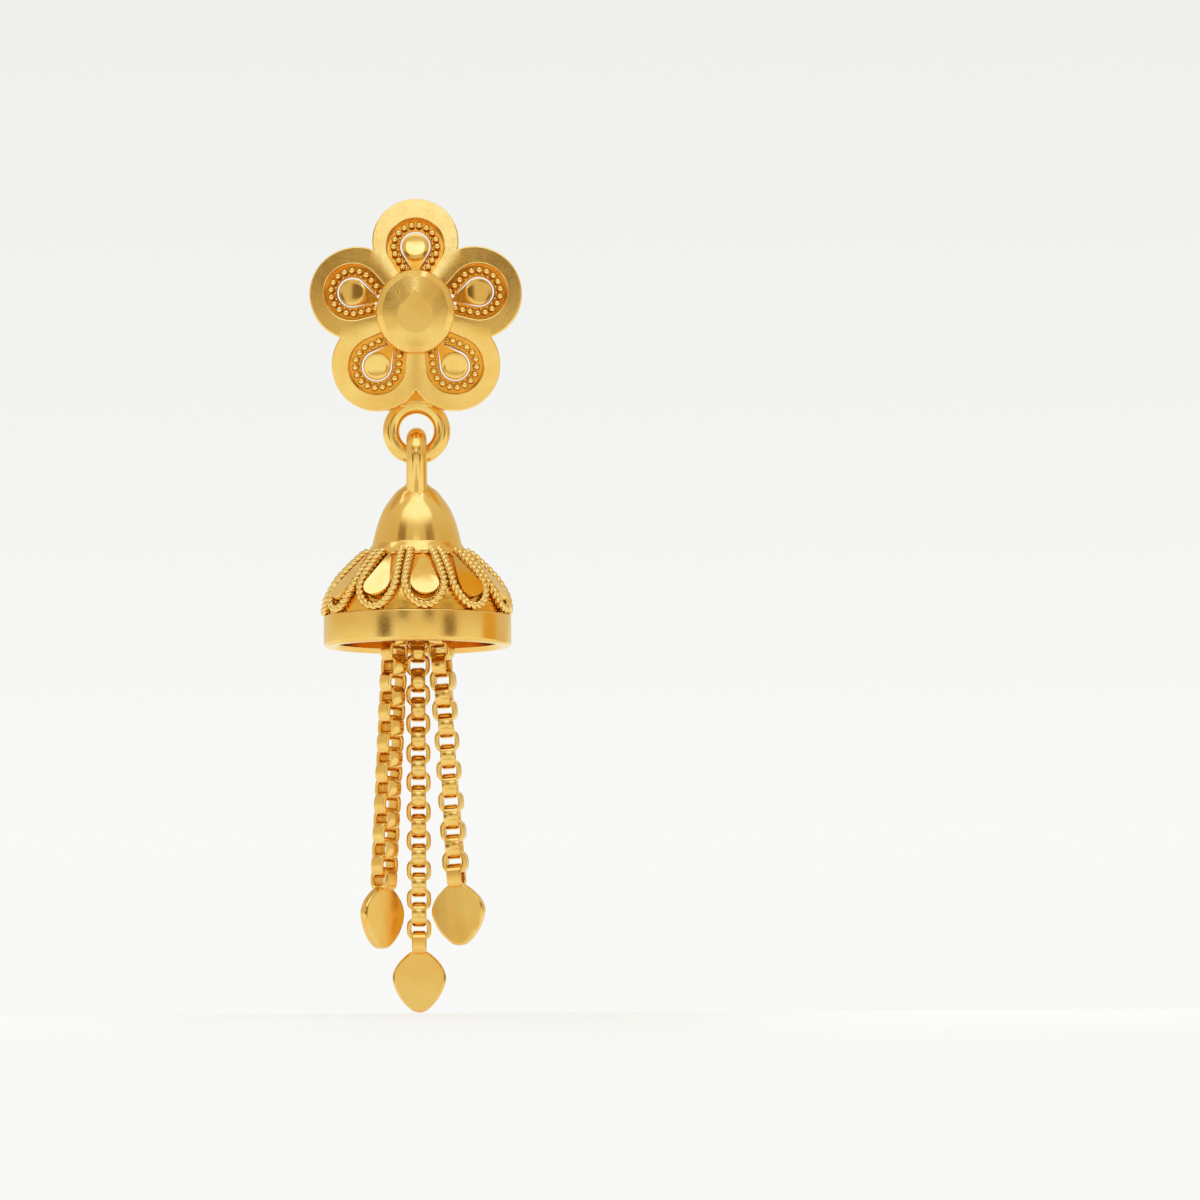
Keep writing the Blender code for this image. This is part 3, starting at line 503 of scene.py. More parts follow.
def level_edges(work, axis, least=60):
    """The edges that run level across an axis (0, 1 or 2) and fold by more than a few degrees."""
    return [
        edge for edge in work.edges
        if abs(edge.verts[0].co[axis] - edge.verts[1].co[axis]) < WELD
        and edge.calc_face_angle(0) > math.radians(least)
    ]


def sweep_round(work, geometry, centre, axis, angle, steps):
    """Spin geometry through part of a turn and return what ends the sweep."""
    swept = bmesh.ops.spin(
        work, geom=geometry, cent=centre, axis=axis, angle=angle, steps=steps, use_duplicate=False,
    )
    return swept["geom_last"]


def spin_closed(work, edges, centre, axis, steps):
    """Spin edges through a full turn, so that the surface closes on itself."""
    bmesh.ops.spin(
        work, geom=edges, cent=centre, axis=axis, angle=math.tau, steps=steps,
        use_merge=True, use_duplicate=False,
    )


def push_edges(work, edges, way):
    """Extrude edges along a straight way and return the new ones."""
    pushed = bmesh.ops.extrude_edge_only(work, edges=edges)["geom"]
    bmesh.ops.translate(work, vec=way, verts=verts_of(pushed))
    return edges_of(pushed)


def push_face(work, face, way=(0, 0, 0)):
    """Extrude one face along a straight way and return the new one."""
    pushed = bmesh.ops.extrude_face_region(work, geom=[face])["geom"]
    bmesh.ops.translate(work, vec=way, verts=verts_of(pushed))
    return [part for part in pushed if isinstance(part, bmesh.types.BMFace)][0]


def make_thick(work, way):
    """Extrude all faces of a flat shape along a straight way, which makes a plate of it."""
    pushed = bmesh.ops.extrude_face_region(work, geom=work.faces[:])["geom"]
    bmesh.ops.translate(work, vec=way, verts=verts_of(pushed))


# %% [markdown]
# ## The flower plate
#
# The stud's flower is sawn from sheet: five round lobes, each leaning back a little from the middle, with a
# teardrop sawn out of each lobe. The outline could be a Boolean of five cylinders, but spinning one vertex
# round each lobe gives a clean wire straight away. The plate is filled flat, made thick, and its rim is
# broken with a narrow chamfer. Cuts then give the ridges between the lobes something to fold along, three
# to a ridge so that smooth shading rounds it, and the lobes are folded back.

# %% Where the lobes are
FLOWER_FRONT = -2.30
LEAN, CROWN = math.tan(math.radians(10)), 0.011
PLATE_THICKNESS = 0.80
PLATE_CHAMFER = 0.07
PETALS = (  # angle, reach and radius of each lobe
    (90, 4.08, 2.46), (162, 3.54, 2.68), (234, 3.68, 2.63), (306, 3.68, 2.63), (18, 3.54, 2.68),
)
PETAL_AXES = [Vector((math.cos(math.radians(angle)), math.sin(math.radians(angle)))) for angle, _, _ in PETALS]
OPENING_REACH = 3.78
OPENING_RADIUS = 1.62
OPENING_TAPER = math.radians(31.4)
OPENING_FOOT = 1.55


def lobe_crossing(first, second):
    """The outer point where the edges of two neighbouring lobes cross."""
    middles = [PETAL_AXES[PETALS.index(lobe)] * lobe[1] for lobe in (first, second)]
    span = middles[1] - middles[0]
    along = (span.length_squared + first[2] ** 2 - second[2] ** 2) / (2 * span.length)
    side = span.orthogonal().normalized() * math.sqrt(first[2] ** 2 - along**2)
    middle = middles[0] + span.normalized() * along
    return max(middle + side, middle - side, key=lambda point: point.length)


NOTCHES = [lobe_crossing(PETALS[index - 1], petal) for index, petal in enumerate(PETALS)]
print("notches at", [[round(part, 2) for part in notch] for notch in NOTCHES])

# %% Helpers for teardrops and for the lean of the petals
def half_foot(radius, taper, foot):
    """Half the width of a teardrop's narrow end."""
    return (radius - (OPENING_REACH - foot) * math.sin(taper)) / math.cos(taper)


def draw_teardrop(work, radius, taper, foot, steps=48, turn=None):
    """A teardrop's line: out along one flank, round the wide end, and back along the other."""
    turn = turn or Matrix.Identity(3)
    arc = math.pi / 2 + taper
    half = half_foot(radius, taper, foot)
    rim = Vector((OPENING_REACH + radius * math.cos(-arc), radius * math.sin(-arc), 0))
    first = draw_line(work, [turn @ Vector((foot, -half, 0)), turn @ rim])
    last = sweep_round(work, [first[-1]], turn @ Vector((OPENING_REACH, 0, 0)), (0, 0, 1), 2 * arc, steps)
    end = work.verts.new(turn @ Vector((foot, half, 0)))
    work.edges.new((verts_of(last)[0], end))
    return first[0], end


def lean_back(work):
    """Turn a flat flower shape to face the front, lean its five petals back and crown each a little."""
    for vert in work.verts:
        axis = max(PETAL_AXES, key=vert.co.xy.dot)
        out, aside = vert.co.xy.dot(axis), vert.co.xy.cross(axis)
        vert.co = (vert.co.x, FLOWER_FRONT - vert.co.z + LEAN * out + CROWN * aside**2, vert.co.y)


def petal_matrix(angle):
    """Takes (out along a petal, across it, forward) to its place on the leaning petal."""
    turn = math.radians(angle)
    along = (math.cos(turn), LEAN, math.sin(turn))
    across = (-math.sin(turn), 0, math.cos(turn))
    matrix = Matrix((along, across, (0, -1, 0))).transposed().to_4x4()
    matrix.translation = (0, FLOWER_FRONT, 0)
    return matrix


# %% Make the flower plate
LOBE_STEPS = 44
NOTCH_WELD = 0.01
work = bmesh.new()
for index, petal in enumerate(PETALS):
    middle = (PETAL_AXES[index] * petal[1]).to_3d()
    start, end = (NOTCHES[index].to_3d() - middle), (NOTCHES[(index + 1) % 5].to_3d() - middle)
    sweep = (math.atan2(end.y, end.x) - math.atan2(start.y, start.x)) % math.tau
    corner = work.verts.new(middle + start)
    sweep_round(work, [corner], middle, (0, 0, 1), sweep, LOBE_STEPS)
bmesh.ops.remove_doubles(work, verts=work.verts, dist=NOTCH_WELD)
for angle, _, _ in PETALS:
    turn = Matrix.Rotation(math.radians(angle), 3, "Z")
    feet = draw_teardrop(work, OPENING_RADIUS, OPENING_TAPER, OPENING_FOOT, turn=turn)
    work.edges.new(feet)
bmesh.ops.triangle_fill(work, use_beauty=True, use_dissolve=False, edges=work.edges)
print("front of the plate:", len(work.faces), "triangles")

# %% Thicken, chamfer and fold the flower plate
RIDGE, RIDGE_CUTS = 36, (-7, 0, 7)  # from a petal to the ridge beside it, and the cuts round that, in degrees
make_thick(work, (0, 0, -PLATE_THICKNESS))
bmesh.ops.bevel(work, geom=level_edges(work, 2), offset=PLATE_CHAMFER, affect="EDGES", segments=2, **BEVEL)
for angle in [angle + RIDGE + beside for angle, _, _ in PETALS for beside in RIDGE_CUTS]:
    ridge = math.radians(angle)
    cut_across(work, (0, 0, 0), (-math.sin(ridge), math.cos(ridge), 0))
bmesh.ops.triangulate(work, faces=[face for face in work.faces if len(face.verts) > 4])
lean_back(work)
finish_piece(work, "petal_plate", "top", "satin_gold", "flower_plate", crisp=14)

# %% [markdown]
# ## The rows of beads
#
# Inside each opening lies a strip that follows its edge, and on the strip stands a row of granulation:
# gold grains fused in place. The strip is a small section pushed along one flank, spun round the wide end
# and pushed along the other flank. The grains are many and tiny, so each is an icosphere of a few dozen
# faces that smooth shading makes round. A second row of smaller grains fills the inner edge, as on the
# real one, where it gives the strip a scalloped rim.

# %% Walk along a teardrop's line
LOOP_RADIUS = OPENING_RADIUS - 0.37
LOOP_FOOT = 2.20


def loop_walk(radius, foot):
    """The length of a loop's line, and a function from a distance along it to a point and a heading."""
    arc = math.pi / 2 + OPENING_TAPER
    start = Vector((foot, -half_foot(radius, OPENING_TAPER, foot)))
    rim = Vector((OPENING_REACH + radius * math.cos(arc), -radius * math.sin(arc)))
    flank = (rim - start).length
    whole = 2 * flank + 2 * arc * radius

    def place(distance):
        if distance > whole / 2:
            point, heading = place(whole - distance)
            return Vector((point.x, -point.y)), Vector((-heading.x, heading.y))
        if distance < flank:
            heading = (rim - start).normalized()
            return start + heading * distance, heading
        angle = (distance - flank) / radius - arc
        out = Vector((math.cos(angle), math.sin(angle)))
        return Vector((OPENING_REACH, 0)) + radius * out, Vector((-out.y, out.x))

    return whole, place


loop_length, loop_place = loop_walk(LOOP_RADIUS, LOOP_FOOT)
print("a row of beads is", round(loop_length, 2), "mm long")

# %% Helpers that make the strip and its beads
STRIP_SECTION = (  # across the strip and forward
    (-0.38, -0.65), (0.365, -0.65), (0.365, -0.46), (-0.27, -0.44), (-0.29, -0.25), (-0.35, -0.24), (-0.38, -0.28),
)
STRIP_STEPS = 44
BEAD_RADIUS, BEAD_FORWARD, BEAD_GAP = 0.190, -0.180, 0.43
SMALL_RADIUS, SMALL_FORWARD, SMALL_INWARD = 0.075, -0.27, 0.245


def add_strip(work):
    """The strip round an opening, in the petal's own plane."""
    start, heading = loop_place(0)
    outward = Vector((heading.y, -heading.x))
    section = [work.verts.new((*(start + outward * across), forward)) for across, forward in STRIP_SECTION]
    edges = [work.edges.new((section[index - 1], vert)) for index, vert in enumerate(section)]
    bmesh.ops.contextual_create(work, geom=edges)
    arc = math.pi + 2 * OPENING_TAPER
    flank = heading * (loop_length - arc * LOOP_RADIUS) / 2
    edges = push_edges(work, edges, flank.to_3d())
    edges = edges_of(sweep_round(work, edges, (OPENING_REACH, 0, 0), (0, 0, 1), arc, STRIP_STEPS))
    edges = push_edges(work, edges, (-flank.x, flank.y, 0))
    bmesh.ops.contextual_create(work, geom=edges)


def add_beads(work, inward, radius, forward, shift):
    """A row of grains at even steps along the loop, a little in from its line."""
    count = round(loop_length / BEAD_GAP)
    for index in range(count + (shift == 0)):
        point, heading = loop_place(min(loop_length, loop_length * (index + shift) / count))
        inner = Vector((-heading.y, heading.x)) * inward
        middle = Matrix.Translation((*(point + inner), forward))
        bmesh.ops.create_icosphere(work, subdivisions=2, radius=radius, matrix=middle)


# %% Make the five rows of beads
for number, (angle, _, _) in enumerate(PETALS, 1):
    work = bmesh.new()
    add_strip(work)
    bmesh.ops.transform(work, matrix=petal_matrix(angle), verts=work.verts)
    # the trough under the beads takes the deep orange gold that paints the shade of a hollow
    finish_piece(work, f"bead_trough_{number}", "top", "recess_gold", f"bead_loop_{number}")
    work = bmesh.new()
    add_beads(work, 0, BEAD_RADIUS, BEAD_FORWARD, 0)
    add_beads(work, SMALL_INWARD, SMALL_RADIUS, SMALL_FORWARD, 0.5)
    bmesh.ops.transform(work, matrix=petal_matrix(angle), verts=work.verts)
    finish_piece(work, f"bead_row_{number}", "top", "beadwork_gold", f"bead_loop_{number}", crisp=40)

# %% [markdown]
# ## The polished discs
#
# In the middle of each row stands a small polished disc on a teardrop of sheet that runs in under the
# boss. The disc is a circle pushed up, with a soft bevel, and its top is raised in three small steps, so
# that it is very slightly domed. A truly flat disc would mirror one even patch of the tent: a dome of a few
# degrees gathers light and dark and looks like metal. The two discs at the sides tip back a little more
# than their petals, since no five small pieces are soldered quite alike.

# %% Make the polished discs
DISC_RADIUS, DISC_TOP, DISC_BEVEL = 0.75, -0.14, 0.045
DISC_SUNK, DISC_BORDER = 0.05, 0.03  # how deep a disc sits in its sheet, how far the sheet shows round it
DISC_TAPER, DISC_NECK = math.radians(27), 2.25
ROOT = ((2.12, 0.30), (1.62, 0.30))
TEARDROP_TOP, TEARDROP_BACK = -0.42, -0.65
DOME_STEPS = ((0.20, 0.013), (0.22, 0.009), (0.18, 0.004))
DISC_TILTS = {162: 1.0, 18: 3.2}  # how far the side discs tip back, by petal angle, in degrees
for number, (angle, _, _) in enumerate(PETALS, 1):
    work = bmesh.new()
    feet = draw_teardrop(work, DISC_RADIUS + DISC_BORDER, DISC_TAPER, DISC_NECK, steps=40)
    near = draw_line(work, [(x, -y) for x, y in ROOT] + [(x, y) for x, y in reversed(ROOT)])
    work.edges.new((feet[0], near[0]))
    work.edges.new((near[-1], feet[1]))
    bmesh.ops.contextual_create(work, geom=work.edges[:])
    bmesh.ops.translate(work, vec=(0, 0, TEARDROP_TOP), verts=work.verts)
    make_thick(work, (0, 0, TEARDROP_BACK - TEARDROP_TOP))
    bmesh.ops.transform(work, matrix=petal_matrix(angle), verts=work.verts)
    # the teardrop sheet under the disc takes the deep orange gold that paints the shade of a hollow
    finish_piece(work, f"disc_plate_{number}", "top", "recess_gold", f"petal_disc_{number}")
    work = bmesh.new()
    place = Matrix.Translation((OPENING_REACH, 0, TEARDROP_TOP - DISC_SUNK))
    bmesh.ops.create_circle(work, cap_ends=True, segments=56, radius=DISC_RADIUS, matrix=place)
    top = push_face(work, work.faces[:][0], (0, 0, DISC_TOP - TEARDROP_TOP + DISC_SUNK))
    bmesh.ops.bevel(work, geom=top.edges[:], offset=DISC_BEVEL, affect="EDGES", segments=3, **BEVEL)
    caps = [face for face in work.faces if len(face.verts) > 4]
    top = max(caps, key=lambda cap: cap.calc_center_median().z)
    for width, rise in DOME_STEPS:
        bmesh.ops.inset_region(work, faces=[top], thickness=width, depth=rise, use_even_offset=True)
    bmesh.ops.poke(work, faces=[top])
    tipped = Matrix.Rotation(math.radians(DISC_TILTS.get(angle, 0)), 3, "Y")
    bmesh.ops.rotate(work, cent=(OPENING_REACH, 0, DISC_TOP), matrix=tipped, verts=work.verts)
    bmesh.ops.transform(work, matrix=petal_matrix(angle), verts=work.verts)
    finish_piece(work, f"polished_disc_{number}", "top", "polished_gold", f"petal_disc_{number}")

# %% [markdown]
# ## The boss
#
# The boss in the middle is a thick cushion with ten soft corners. Above its rim it rises steeply to a wide
# shoulder, and from there a low cone runs up to a flat table in the shape of a drop. It starts as a circle
# of ten sides whose corners are rounded by a vertex bevel. Each level is an extrusion of the last one,
# moved in and up, and the last is pulled onto the outline of the drop.

# %% Make the boss
BOSS_RADIUS, BOSS_EDGE, BOSS_TOP = 2.35, 0.50, 0.838
BOSS_ACROSS, BOSS_TALL, BOSS_LOW = 0.985, 1.07, 0.09
BOSS_LEVELS = ((0.975, 0.575), (0.86, 0.762))  # share of the level before, and height: of the rim, of the shoulder
BOSS_DROP, BOSS_CORNER, SHORTEST_SIDE = 0.012, 0.42, 0.3
BOSS_FOLD, BOSS_SOFTENING = 45, 0.03  # above its foot, level edges that fold by more degrees are softened
BOSS_LEAN = 0.95  # how much of the petals' lean the foot of the boss follows
TABLE_MIDDLE, TABLE_RADIUS, TABLE_TIP = -0.27, 1.02, 1.44


def drop_reach(from_top):
    """How far the drop's edge is from the middle of its round part, by the angle from its point."""
    side = math.acos(TABLE_RADIUS / TABLE_TIP)
    return TABLE_RADIUS / math.cos(side - from_top) if from_top < side else TABLE_RADIUS


work = bmesh.new()
turn = Matrix.Rotation(math.radians(18), 4, "Z")
bmesh.ops.create_circle(work, cap_ends=True, segments=10, radius=BOSS_RADIUS, matrix=turn)
bmesh.ops.bevel(work, geom=work.verts[:], offset=BOSS_CORNER, affect="VERTICES", segments=6, **BEVEL)
sides = [edge for edge in work.edges if edge.calc_length() > SHORTEST_SIDE]
bmesh.ops.subdivide_edges(work, edges=sides, cuts=5)
bmesh.ops.scale(work, vec=(BOSS_ACROSS, BOSS_TALL, 1), verts=work.verts)
level = push_face(work, work.faces[:][0], (0, 0, BOSS_EDGE))
for share, height in BOSS_LEVELS:
    level = push_face(work, level)
    for vert in level.verts:
        vert.co = (vert.co.x * share, vert.co.y * share - BOSS_DROP, height)
for vert in push_face(work, level).verts:
    turned = math.atan2(vert.co.x, vert.co.y)
    reach = drop_reach(abs(turned))
    vert.co = (math.sin(turned) * reach, TABLE_MIDDLE + math.cos(turned) * reach, BOSS_TOP)
soft = [edge for edge in level_edges(work, 2, BOSS_FOLD) if edge.verts[0].co.z > BOSS_EDGE / 2]
bmesh.ops.bevel(work, geom=soft, offset=BOSS_SOFTENING, affect="EDGES", segments=2, **BEVEL)
for vert in work.verts:
    out = vert.co.xy.length * BOSS_LEAN * (1 - vert.co.z / BOSS_TOP)
    vert.co = (vert.co.x, FLOWER_FRONT - vert.co.z + LEAN * out, vert.co.y - BOSS_LOW)
finish_piece(work, "boss_cushion", "top", "satin_gold", "flower_boss", crisp=3.8)

# %% [markdown]
# ## The post, the ring and its lug
#
# A plain pin is soldered behind the flower. Below it hangs a ring of round wire, carried by a small
# pointed lug behind the lowest notch. The ring is a circle spun round the ring's middle. The lug is a
# little wedge, and the solder above it is a matt deep orange gold, painted shade in the corner of the notch.

# %% Make the post
POST_RADIUS, POST_END, POST_CHAMFER = 0.40, 9.20, 0.15
SEAM = 0.03  # the hair's breadth between two pieces that meet
post_start = FLOWER_FRONT + PLATE_THICKNESS + SEAM
work = bmesh.new()
place = Matrix.Translation((0, post_start, 0)) @ Matrix.Rotation(math.pi / 2, 4, "X")
bmesh.ops.create_circle(work, cap_ends=True, segments=40, radius=POST_RADIUS, matrix=place)
tip = push_face(work, work.faces[:][0], (0, POST_END - post_start, 0))
bmesh.ops.bevel(work, geom=tip.edges[:], offset=POST_CHAMFER, affect="EDGES", segments=5, **BEVEL)
finish_piece(work, "ear_pin", "top", "polished_gold", "ear_post")

# %% Make the ring and its lug
HANG_Y = -0.13
RING_Z, RING_RADIUS, RING_WIRE = -6.67, 1.45, 0.47
LUG_BEVEL = 0.06
# half the width at the foot and at the top, heights of foot and top, back and front
LUG = (1.05, 0.30, RING_Z + RING_RADIUS - 0.10, -4.55, -0.10, -0.62)
SOLDER = (0.42, 0.10, -4.95, -4.15, -0.30, -0.72)


def add_wire_ring(work, middle, radius, wire, axis, steps=96, sides=32):
    """A closed ring of round wire about an axis through its middle."""
    axis = Vector(axis)
    out = Vector((0, 0, 1)) if abs(axis.z) < 0.5 else Vector((1, 0, 0))
    across = axis.cross(out)
    facing = Matrix((out, axis, across)).transposed().to_4x4()
    facing.translation = Vector(middle) + out * radius
    circle = bmesh.ops.create_circle(work, cap_ends=False, segments=sides, radius=wire, matrix=facing)["verts"]
    spin_closed(work, edges_at(circle), middle, axis, steps)


def add_wedge(work, foot_width, top_width, foot, top, back, front):
    """A wedge that narrows upwards; returns its front."""
    corners = ((-foot_width, foot), (foot_width, foot), (top_width, top), (-top_width, top))
    outline = draw_line(work, [(aside, back, height) for aside, height in corners])
    face = bmesh.ops.contextual_create(work, geom=[*outline, *edges_at(outline)])["faces"][0]
    return push_face(work, face, (0, front - back, 0))


work = bmesh.new()
add_wire_ring(work, (0, HANG_Y, RING_Z), RING_RADIUS, RING_WIRE, (0, 1, 0))
front = add_wedge(work, *LUG)
bmesh.ops.bevel(work, geom=front.edges[:], offset=LUG_BEVEL, affect="EDGES", segments=2, **BEVEL)
finish_piece(work, "ring_with_lug", "top", "polished_gold", "hanging_ring", finish="soft_polish")
work = bmesh.new()
add_wedge(work, *SOLDER)
# the solder in the notch's corner takes the deep orange gold that paints the shade of a hollow
finish_piece(work, "lug_solder", "top", "recess_gold", "hanging_ring")

# %% [markdown]
# ## The dome and its bail
#
# The bell hangs by a thick round bail soldered to a small dome. The dome is turned work, so its wall is one
# line spun about the bell's axis. The line is drawn through a few measured points with a smooth curve, as a
# spinner's template would be. The bail is thick wire bent to a narrow arch, whose legs close in on each
# other before they meet the dome: a circle is pushed up, spun over the top and pushed down again.

# %% A helper that draws a smooth template through measured points
def template(points, steps):
    """A smooth line through a few points: each span is a Bezier curve whose handles follow its neighbours."""
    points = [Vector(point) for point in points]
    line = [points[0]]
    for index in range(len(points) - 1):
        start, end = points[index], points[index + 1]
        before, after = points[max(index - 1, 0)], points[min(index + 2, len(points) - 1)]
        reach = (end - start).length / 3
        leaving = start + (end - before).normalized() * reach
        arriving = end - (after - start).normalized() * reach
        line += interpolate_bezier(start, leaving, arriving, end, steps + 1)[1:]
    return line


def turn_profile(work, profile, steps=112, closed=False):
    """Spin a profile of radius and height about the bell's axis."""
    verts = draw_line(work, [(radius, HANG_Y, height) for radius, height in profile])
    if closed:
        work.edges.new((verts[-1], verts[0]))
    spin_closed(work, edges_at(verts), (0, HANG_Y, 0), (0, 0, 1), steps)


# %% Make the dome with its bail
DOME_OUTSIDE = (  # radius and height, from the neck to the lip
    (0.60, -9.62), (0.66, -9.74), (0.84, -9.88), (1.14, -10.10), (1.56, -10.62), (1.89, -11.12), (2.10, -11.58),
    (2.26, -12.04), (2.385, -12.48), (2.487, -12.90), (2.545, -13.16),
)
DOME_LIP = (
    (2.59, -13.22), (2.68, -13.34), (2.80, -13.52), (2.90, -13.68), (2.93, -13.80), (2.90, -13.88), (2.82, -13.90),
)
DOME_INSIDE = ((2.48, -13.70), (2.18, -13.10), (1.92, -12.20), (1.55, -11.20), (0.90, -10.66), (0.0, -10.52))
DOME_NECK = ((0, -9.60), (0.56, -9.60))
BAIL_WIRE, BAIL_RADIUS, BAIL_BEND, BAIL_FOOT, BAIL_FOOT_OUT = 0.575, 1.165, -8.62, -10.70, 0.66
BAIL_Z = RING_Z - RING_RADIUS + RING_WIRE + SEAM - BAIL_RADIUS + BAIL_WIRE
work = bmesh.new()
turn_profile(work, [*DOME_NECK, *template(DOME_OUTSIDE, 5), *DOME_LIP, *template(DOME_INSIDE, 3)])
start = Matrix.Translation((0, HANG_Y - BAIL_FOOT_OUT, BAIL_FOOT))
circle = bmesh.ops.create_circle(work, cap_ends=False, segments=40, radius=BAIL_WIRE, matrix=start)["verts"]
edges = edges_at(circle)
bmesh.ops.contextual_create(work, geom=edges)
spread = BAIL_RADIUS - BAIL_FOOT_OUT
edges = push_edges(work, edges, (0, -spread, BAIL_BEND - BAIL_FOOT))
edges = push_edges(work, edges, (0, 0, BAIL_Z - BAIL_BEND))
edges = edges_of(sweep_round(work, edges, (0, HANG_Y, BAIL_Z), (1, 0, 0), -math.pi, 56))
edges = push_edges(work, edges, (0, 0, BAIL_BEND - BAIL_Z))
edges = push_edges(work, edges, (0, -spread, BAIL_FOOT - BAIL_BEND))
bmesh.ops.contextual_create(work, geom=edges)
finish_piece(work, "dome_with_bail", "drop", "polished_gold", "bell_cap", crisp=40, finish="soft_polish")

# %% [markdown]
# ## The skirt and the band
#
# Below the dome a sloping wall carries the ropes, and a plain wide band stiffens the mouth of the bell. The
# skirt is a shell: a template for its outside and one for its inside, joined into one closed profile. The
# band's profile starts with sharp corners, and a vertex bevel rounds them before the spin.

# %% Make the skirt
SKIRT_OUTSIDE = (  # radius and height, from the dome to the band
    (2.50, -13.74), (3.05, -14.05), (3.58, -14.55), (4.25, -15.25), (4.72, -15.95), (4.96, -16.60), (5.02, -17.22),
)
SKIRT_WALL = 0.28
SKIRT_LINE = template(SKIRT_OUTSIDE, 8)


def across_line(line, index):
    """The direction that points off the wall at one point of a template."""
    along = (line[min(index + 1, len(line) - 1)] - line[max(index - 1, 0)]).normalized()
    return Vector((-along.y, along.x))


inner_line = [point - across_line(SKIRT_LINE, index) * SKIRT_WALL for index, point in enumerate(SKIRT_LINE)]
work = bmesh.new()
turn_profile(work, [*SKIRT_LINE, *reversed(inner_line)], closed=True)
# the skirt's deeper gold is painted shade, under the ropes and inside the bell
finish_piece(work, "skirt_shell", "drop", "satin_gold", "bell_skirt", crisp=40, finish="skirt_painted_shade_gold")

# %% Make the band
BAND_CORNERS = (  # radius, height and how far the corner is rounded
    (4.74, -17.25, 0), (5.335, -17.25, 0.10), (5.335, -19.03, 0.22), (4.80, -19.03, 0.14), (4.66, -18.76, 0),
)
work = bmesh.new()
verts = draw_line(work, [(radius, HANG_Y, height) for radius, height, _ in BAND_CORNERS])
work.edges.new((verts[-1], verts[0]))
for vert, (_, _, rounding) in zip(verts, BAND_CORNERS):
    if rounding:
        bmesh.ops.bevel(work, geom=[vert], offset=rounding, affect="VERTICES", segments=5, **BEVEL)
spin_closed(work, work.edges[:], (0, HANG_Y, 0), (0, 0, 1), 144)
finish_piece(work, "satin_band", "drop", "satin_gold", "bell_band", crisp=24)

# %% [markdown]
# ## The twisted ropes and their teardrops
#
# Eleven loops of rope lie round the skirt, each drawn from two wires twisted together. A curve is the right
# tool for wire: two strands wind about the loop's line, half a turn apart, and a round bevel gives them
# their thickness. The line itself is laid on the skirt: so far down the slope, so far to the side, and
# lifted off the wall. Points at even steps keep the twist even.

# %% Lay a line on the skirt
LOOPS = 11
LOOP_TURN = math.radians(6)
HALF_ANGLE = math.radians(16.1)
ROPE_INSET = 0.225
ROPE_TOP, ROPE_WIDEST, ROPE_BOTTOM = 0.24, 2.95, 4.52
ROPE_LIFT = 0.25
ROPE_STEPS = 24


def on_skirt(distance, lift):
    """Radius and height of a point this far down the slope and this far off the wall."""
    for index, start in enumerate(SKIRT_LINE[:-1]):
        run = (SKIRT_LINE[index + 1] - start).length
        if distance <= run or index == len(SKIRT_LINE) - 2:
            share = distance / run
            off = across_line(SKIRT_LINE, index).lerp(across_line(SKIRT_LINE, index + 1), share)
            return start.lerp(SKIRT_LINE[index + 1], share) + off.normalized() * lift
        distance -= run


def skirt_place(distance, aside, lift, centre):
    """A point of one loop in the bell's own space, and the direction off the wall there."""
    flat, raised = on_skirt(distance, lift), on_skirt(distance, lift + 1)
    angle = centre + aside / on_skirt(distance, 0).x
    out, off = Vector((math.sin(angle), -math.cos(angle), 0)), raised - flat
    return out * flat.x + Vector((0, HANG_Y, flat.y)), (out * off.x + Vector((0, 0, off.y))).normalized()


def rope_line():
    """The loop's line as (distance down the slope, distance aside), from one top end to the other."""
    depth = ROPE_BOTTOM - ROPE_INSET - ROPE_WIDEST
    widest = on_skirt(ROPE_WIDEST, 0).x * HALF_ANGLE - ROPE_INSET
    side = []
    for step in range(ROPE_STEPS):
        distance = ROPE_TOP + (ROPE_WIDEST - ROPE_TOP) * step / ROPE_STEPS
        side.append((distance, on_skirt(distance, 0).x * HALF_ANGLE - ROPE_INSET))
    for step in range(ROPE_STEPS):
        angle = math.pi / 2 * step / ROPE_STEPS
        side.append((ROPE_WIDEST + depth * math.sin(angle), widest * math.cos(angle)))
    return side + [(ROPE_WIDEST + depth, 0)] + [(distance, -aside) for distance, aside in reversed(side)]


print("the slope is", round(sum((b - a).length for a, b in zip(SKIRT_LINE, SKIRT_LINE[1:])), 2), "mm long")

# %% Twist two strands along the line
STRAND, STRAND_OFFSET, TWIST_PITCH, STRAND_STEP = 0.142, 0.115, 0.68, 0.072


def even_steps(points, step):
    """Points at even steps along a line, each with the direction off the wall."""
    travelled, line, wanted = 0.0, [], 0.0
    for (start, off), (end, next_off) in zip(points, points[1:]):
        run = (end - start).length
        while wanted <= travelled + run:
            share = (wanted - travelled) / run
            line.append((start.lerp(end, share), off.lerp(next_off, share).normalized()))
            wanted += step
        travelled += run
    return line


def twisted_rope(name, centre):
    """Two strands that wind about the loop's line, as one curve in metres."""
    laid = [skirt_place(distance, aside, ROPE_LIFT, centre) for distance, aside in rope_line()]
    line = even_steps(laid, STRAND_STEP)
    curve = bpy.data.curves.new(name, "CURVE")
    curve.dimensions = "3D"
    curve.bevel_depth = STRAND * MM
    curve.bevel_resolution = 1
    curve.use_fill_caps = True
    for half in (0, math.pi):
        strand = curve.splines.new("POLY")
        strand.points.add(len(line) - 1)
        for index, (point, off) in enumerate(line):
            before, after = line[max(index - 1, 0)][0], line[min(index + 1, len(line) - 1)][0]
            aside = (after - before).normalized().cross(off)
            angle = half + math.tau * index * STRAND_STEP / TWIST_PITCH
            wound = point + (off * math.cos(angle) + aside * math.sin(angle)) * STRAND_OFFSET
            strand.points[index].co = (*(wound * MM), 1)
        strand.use_smooth = True
    curve.materials.append(FINISHES["rope_gold"])
    return bpy.data.objects.new(name, curve)


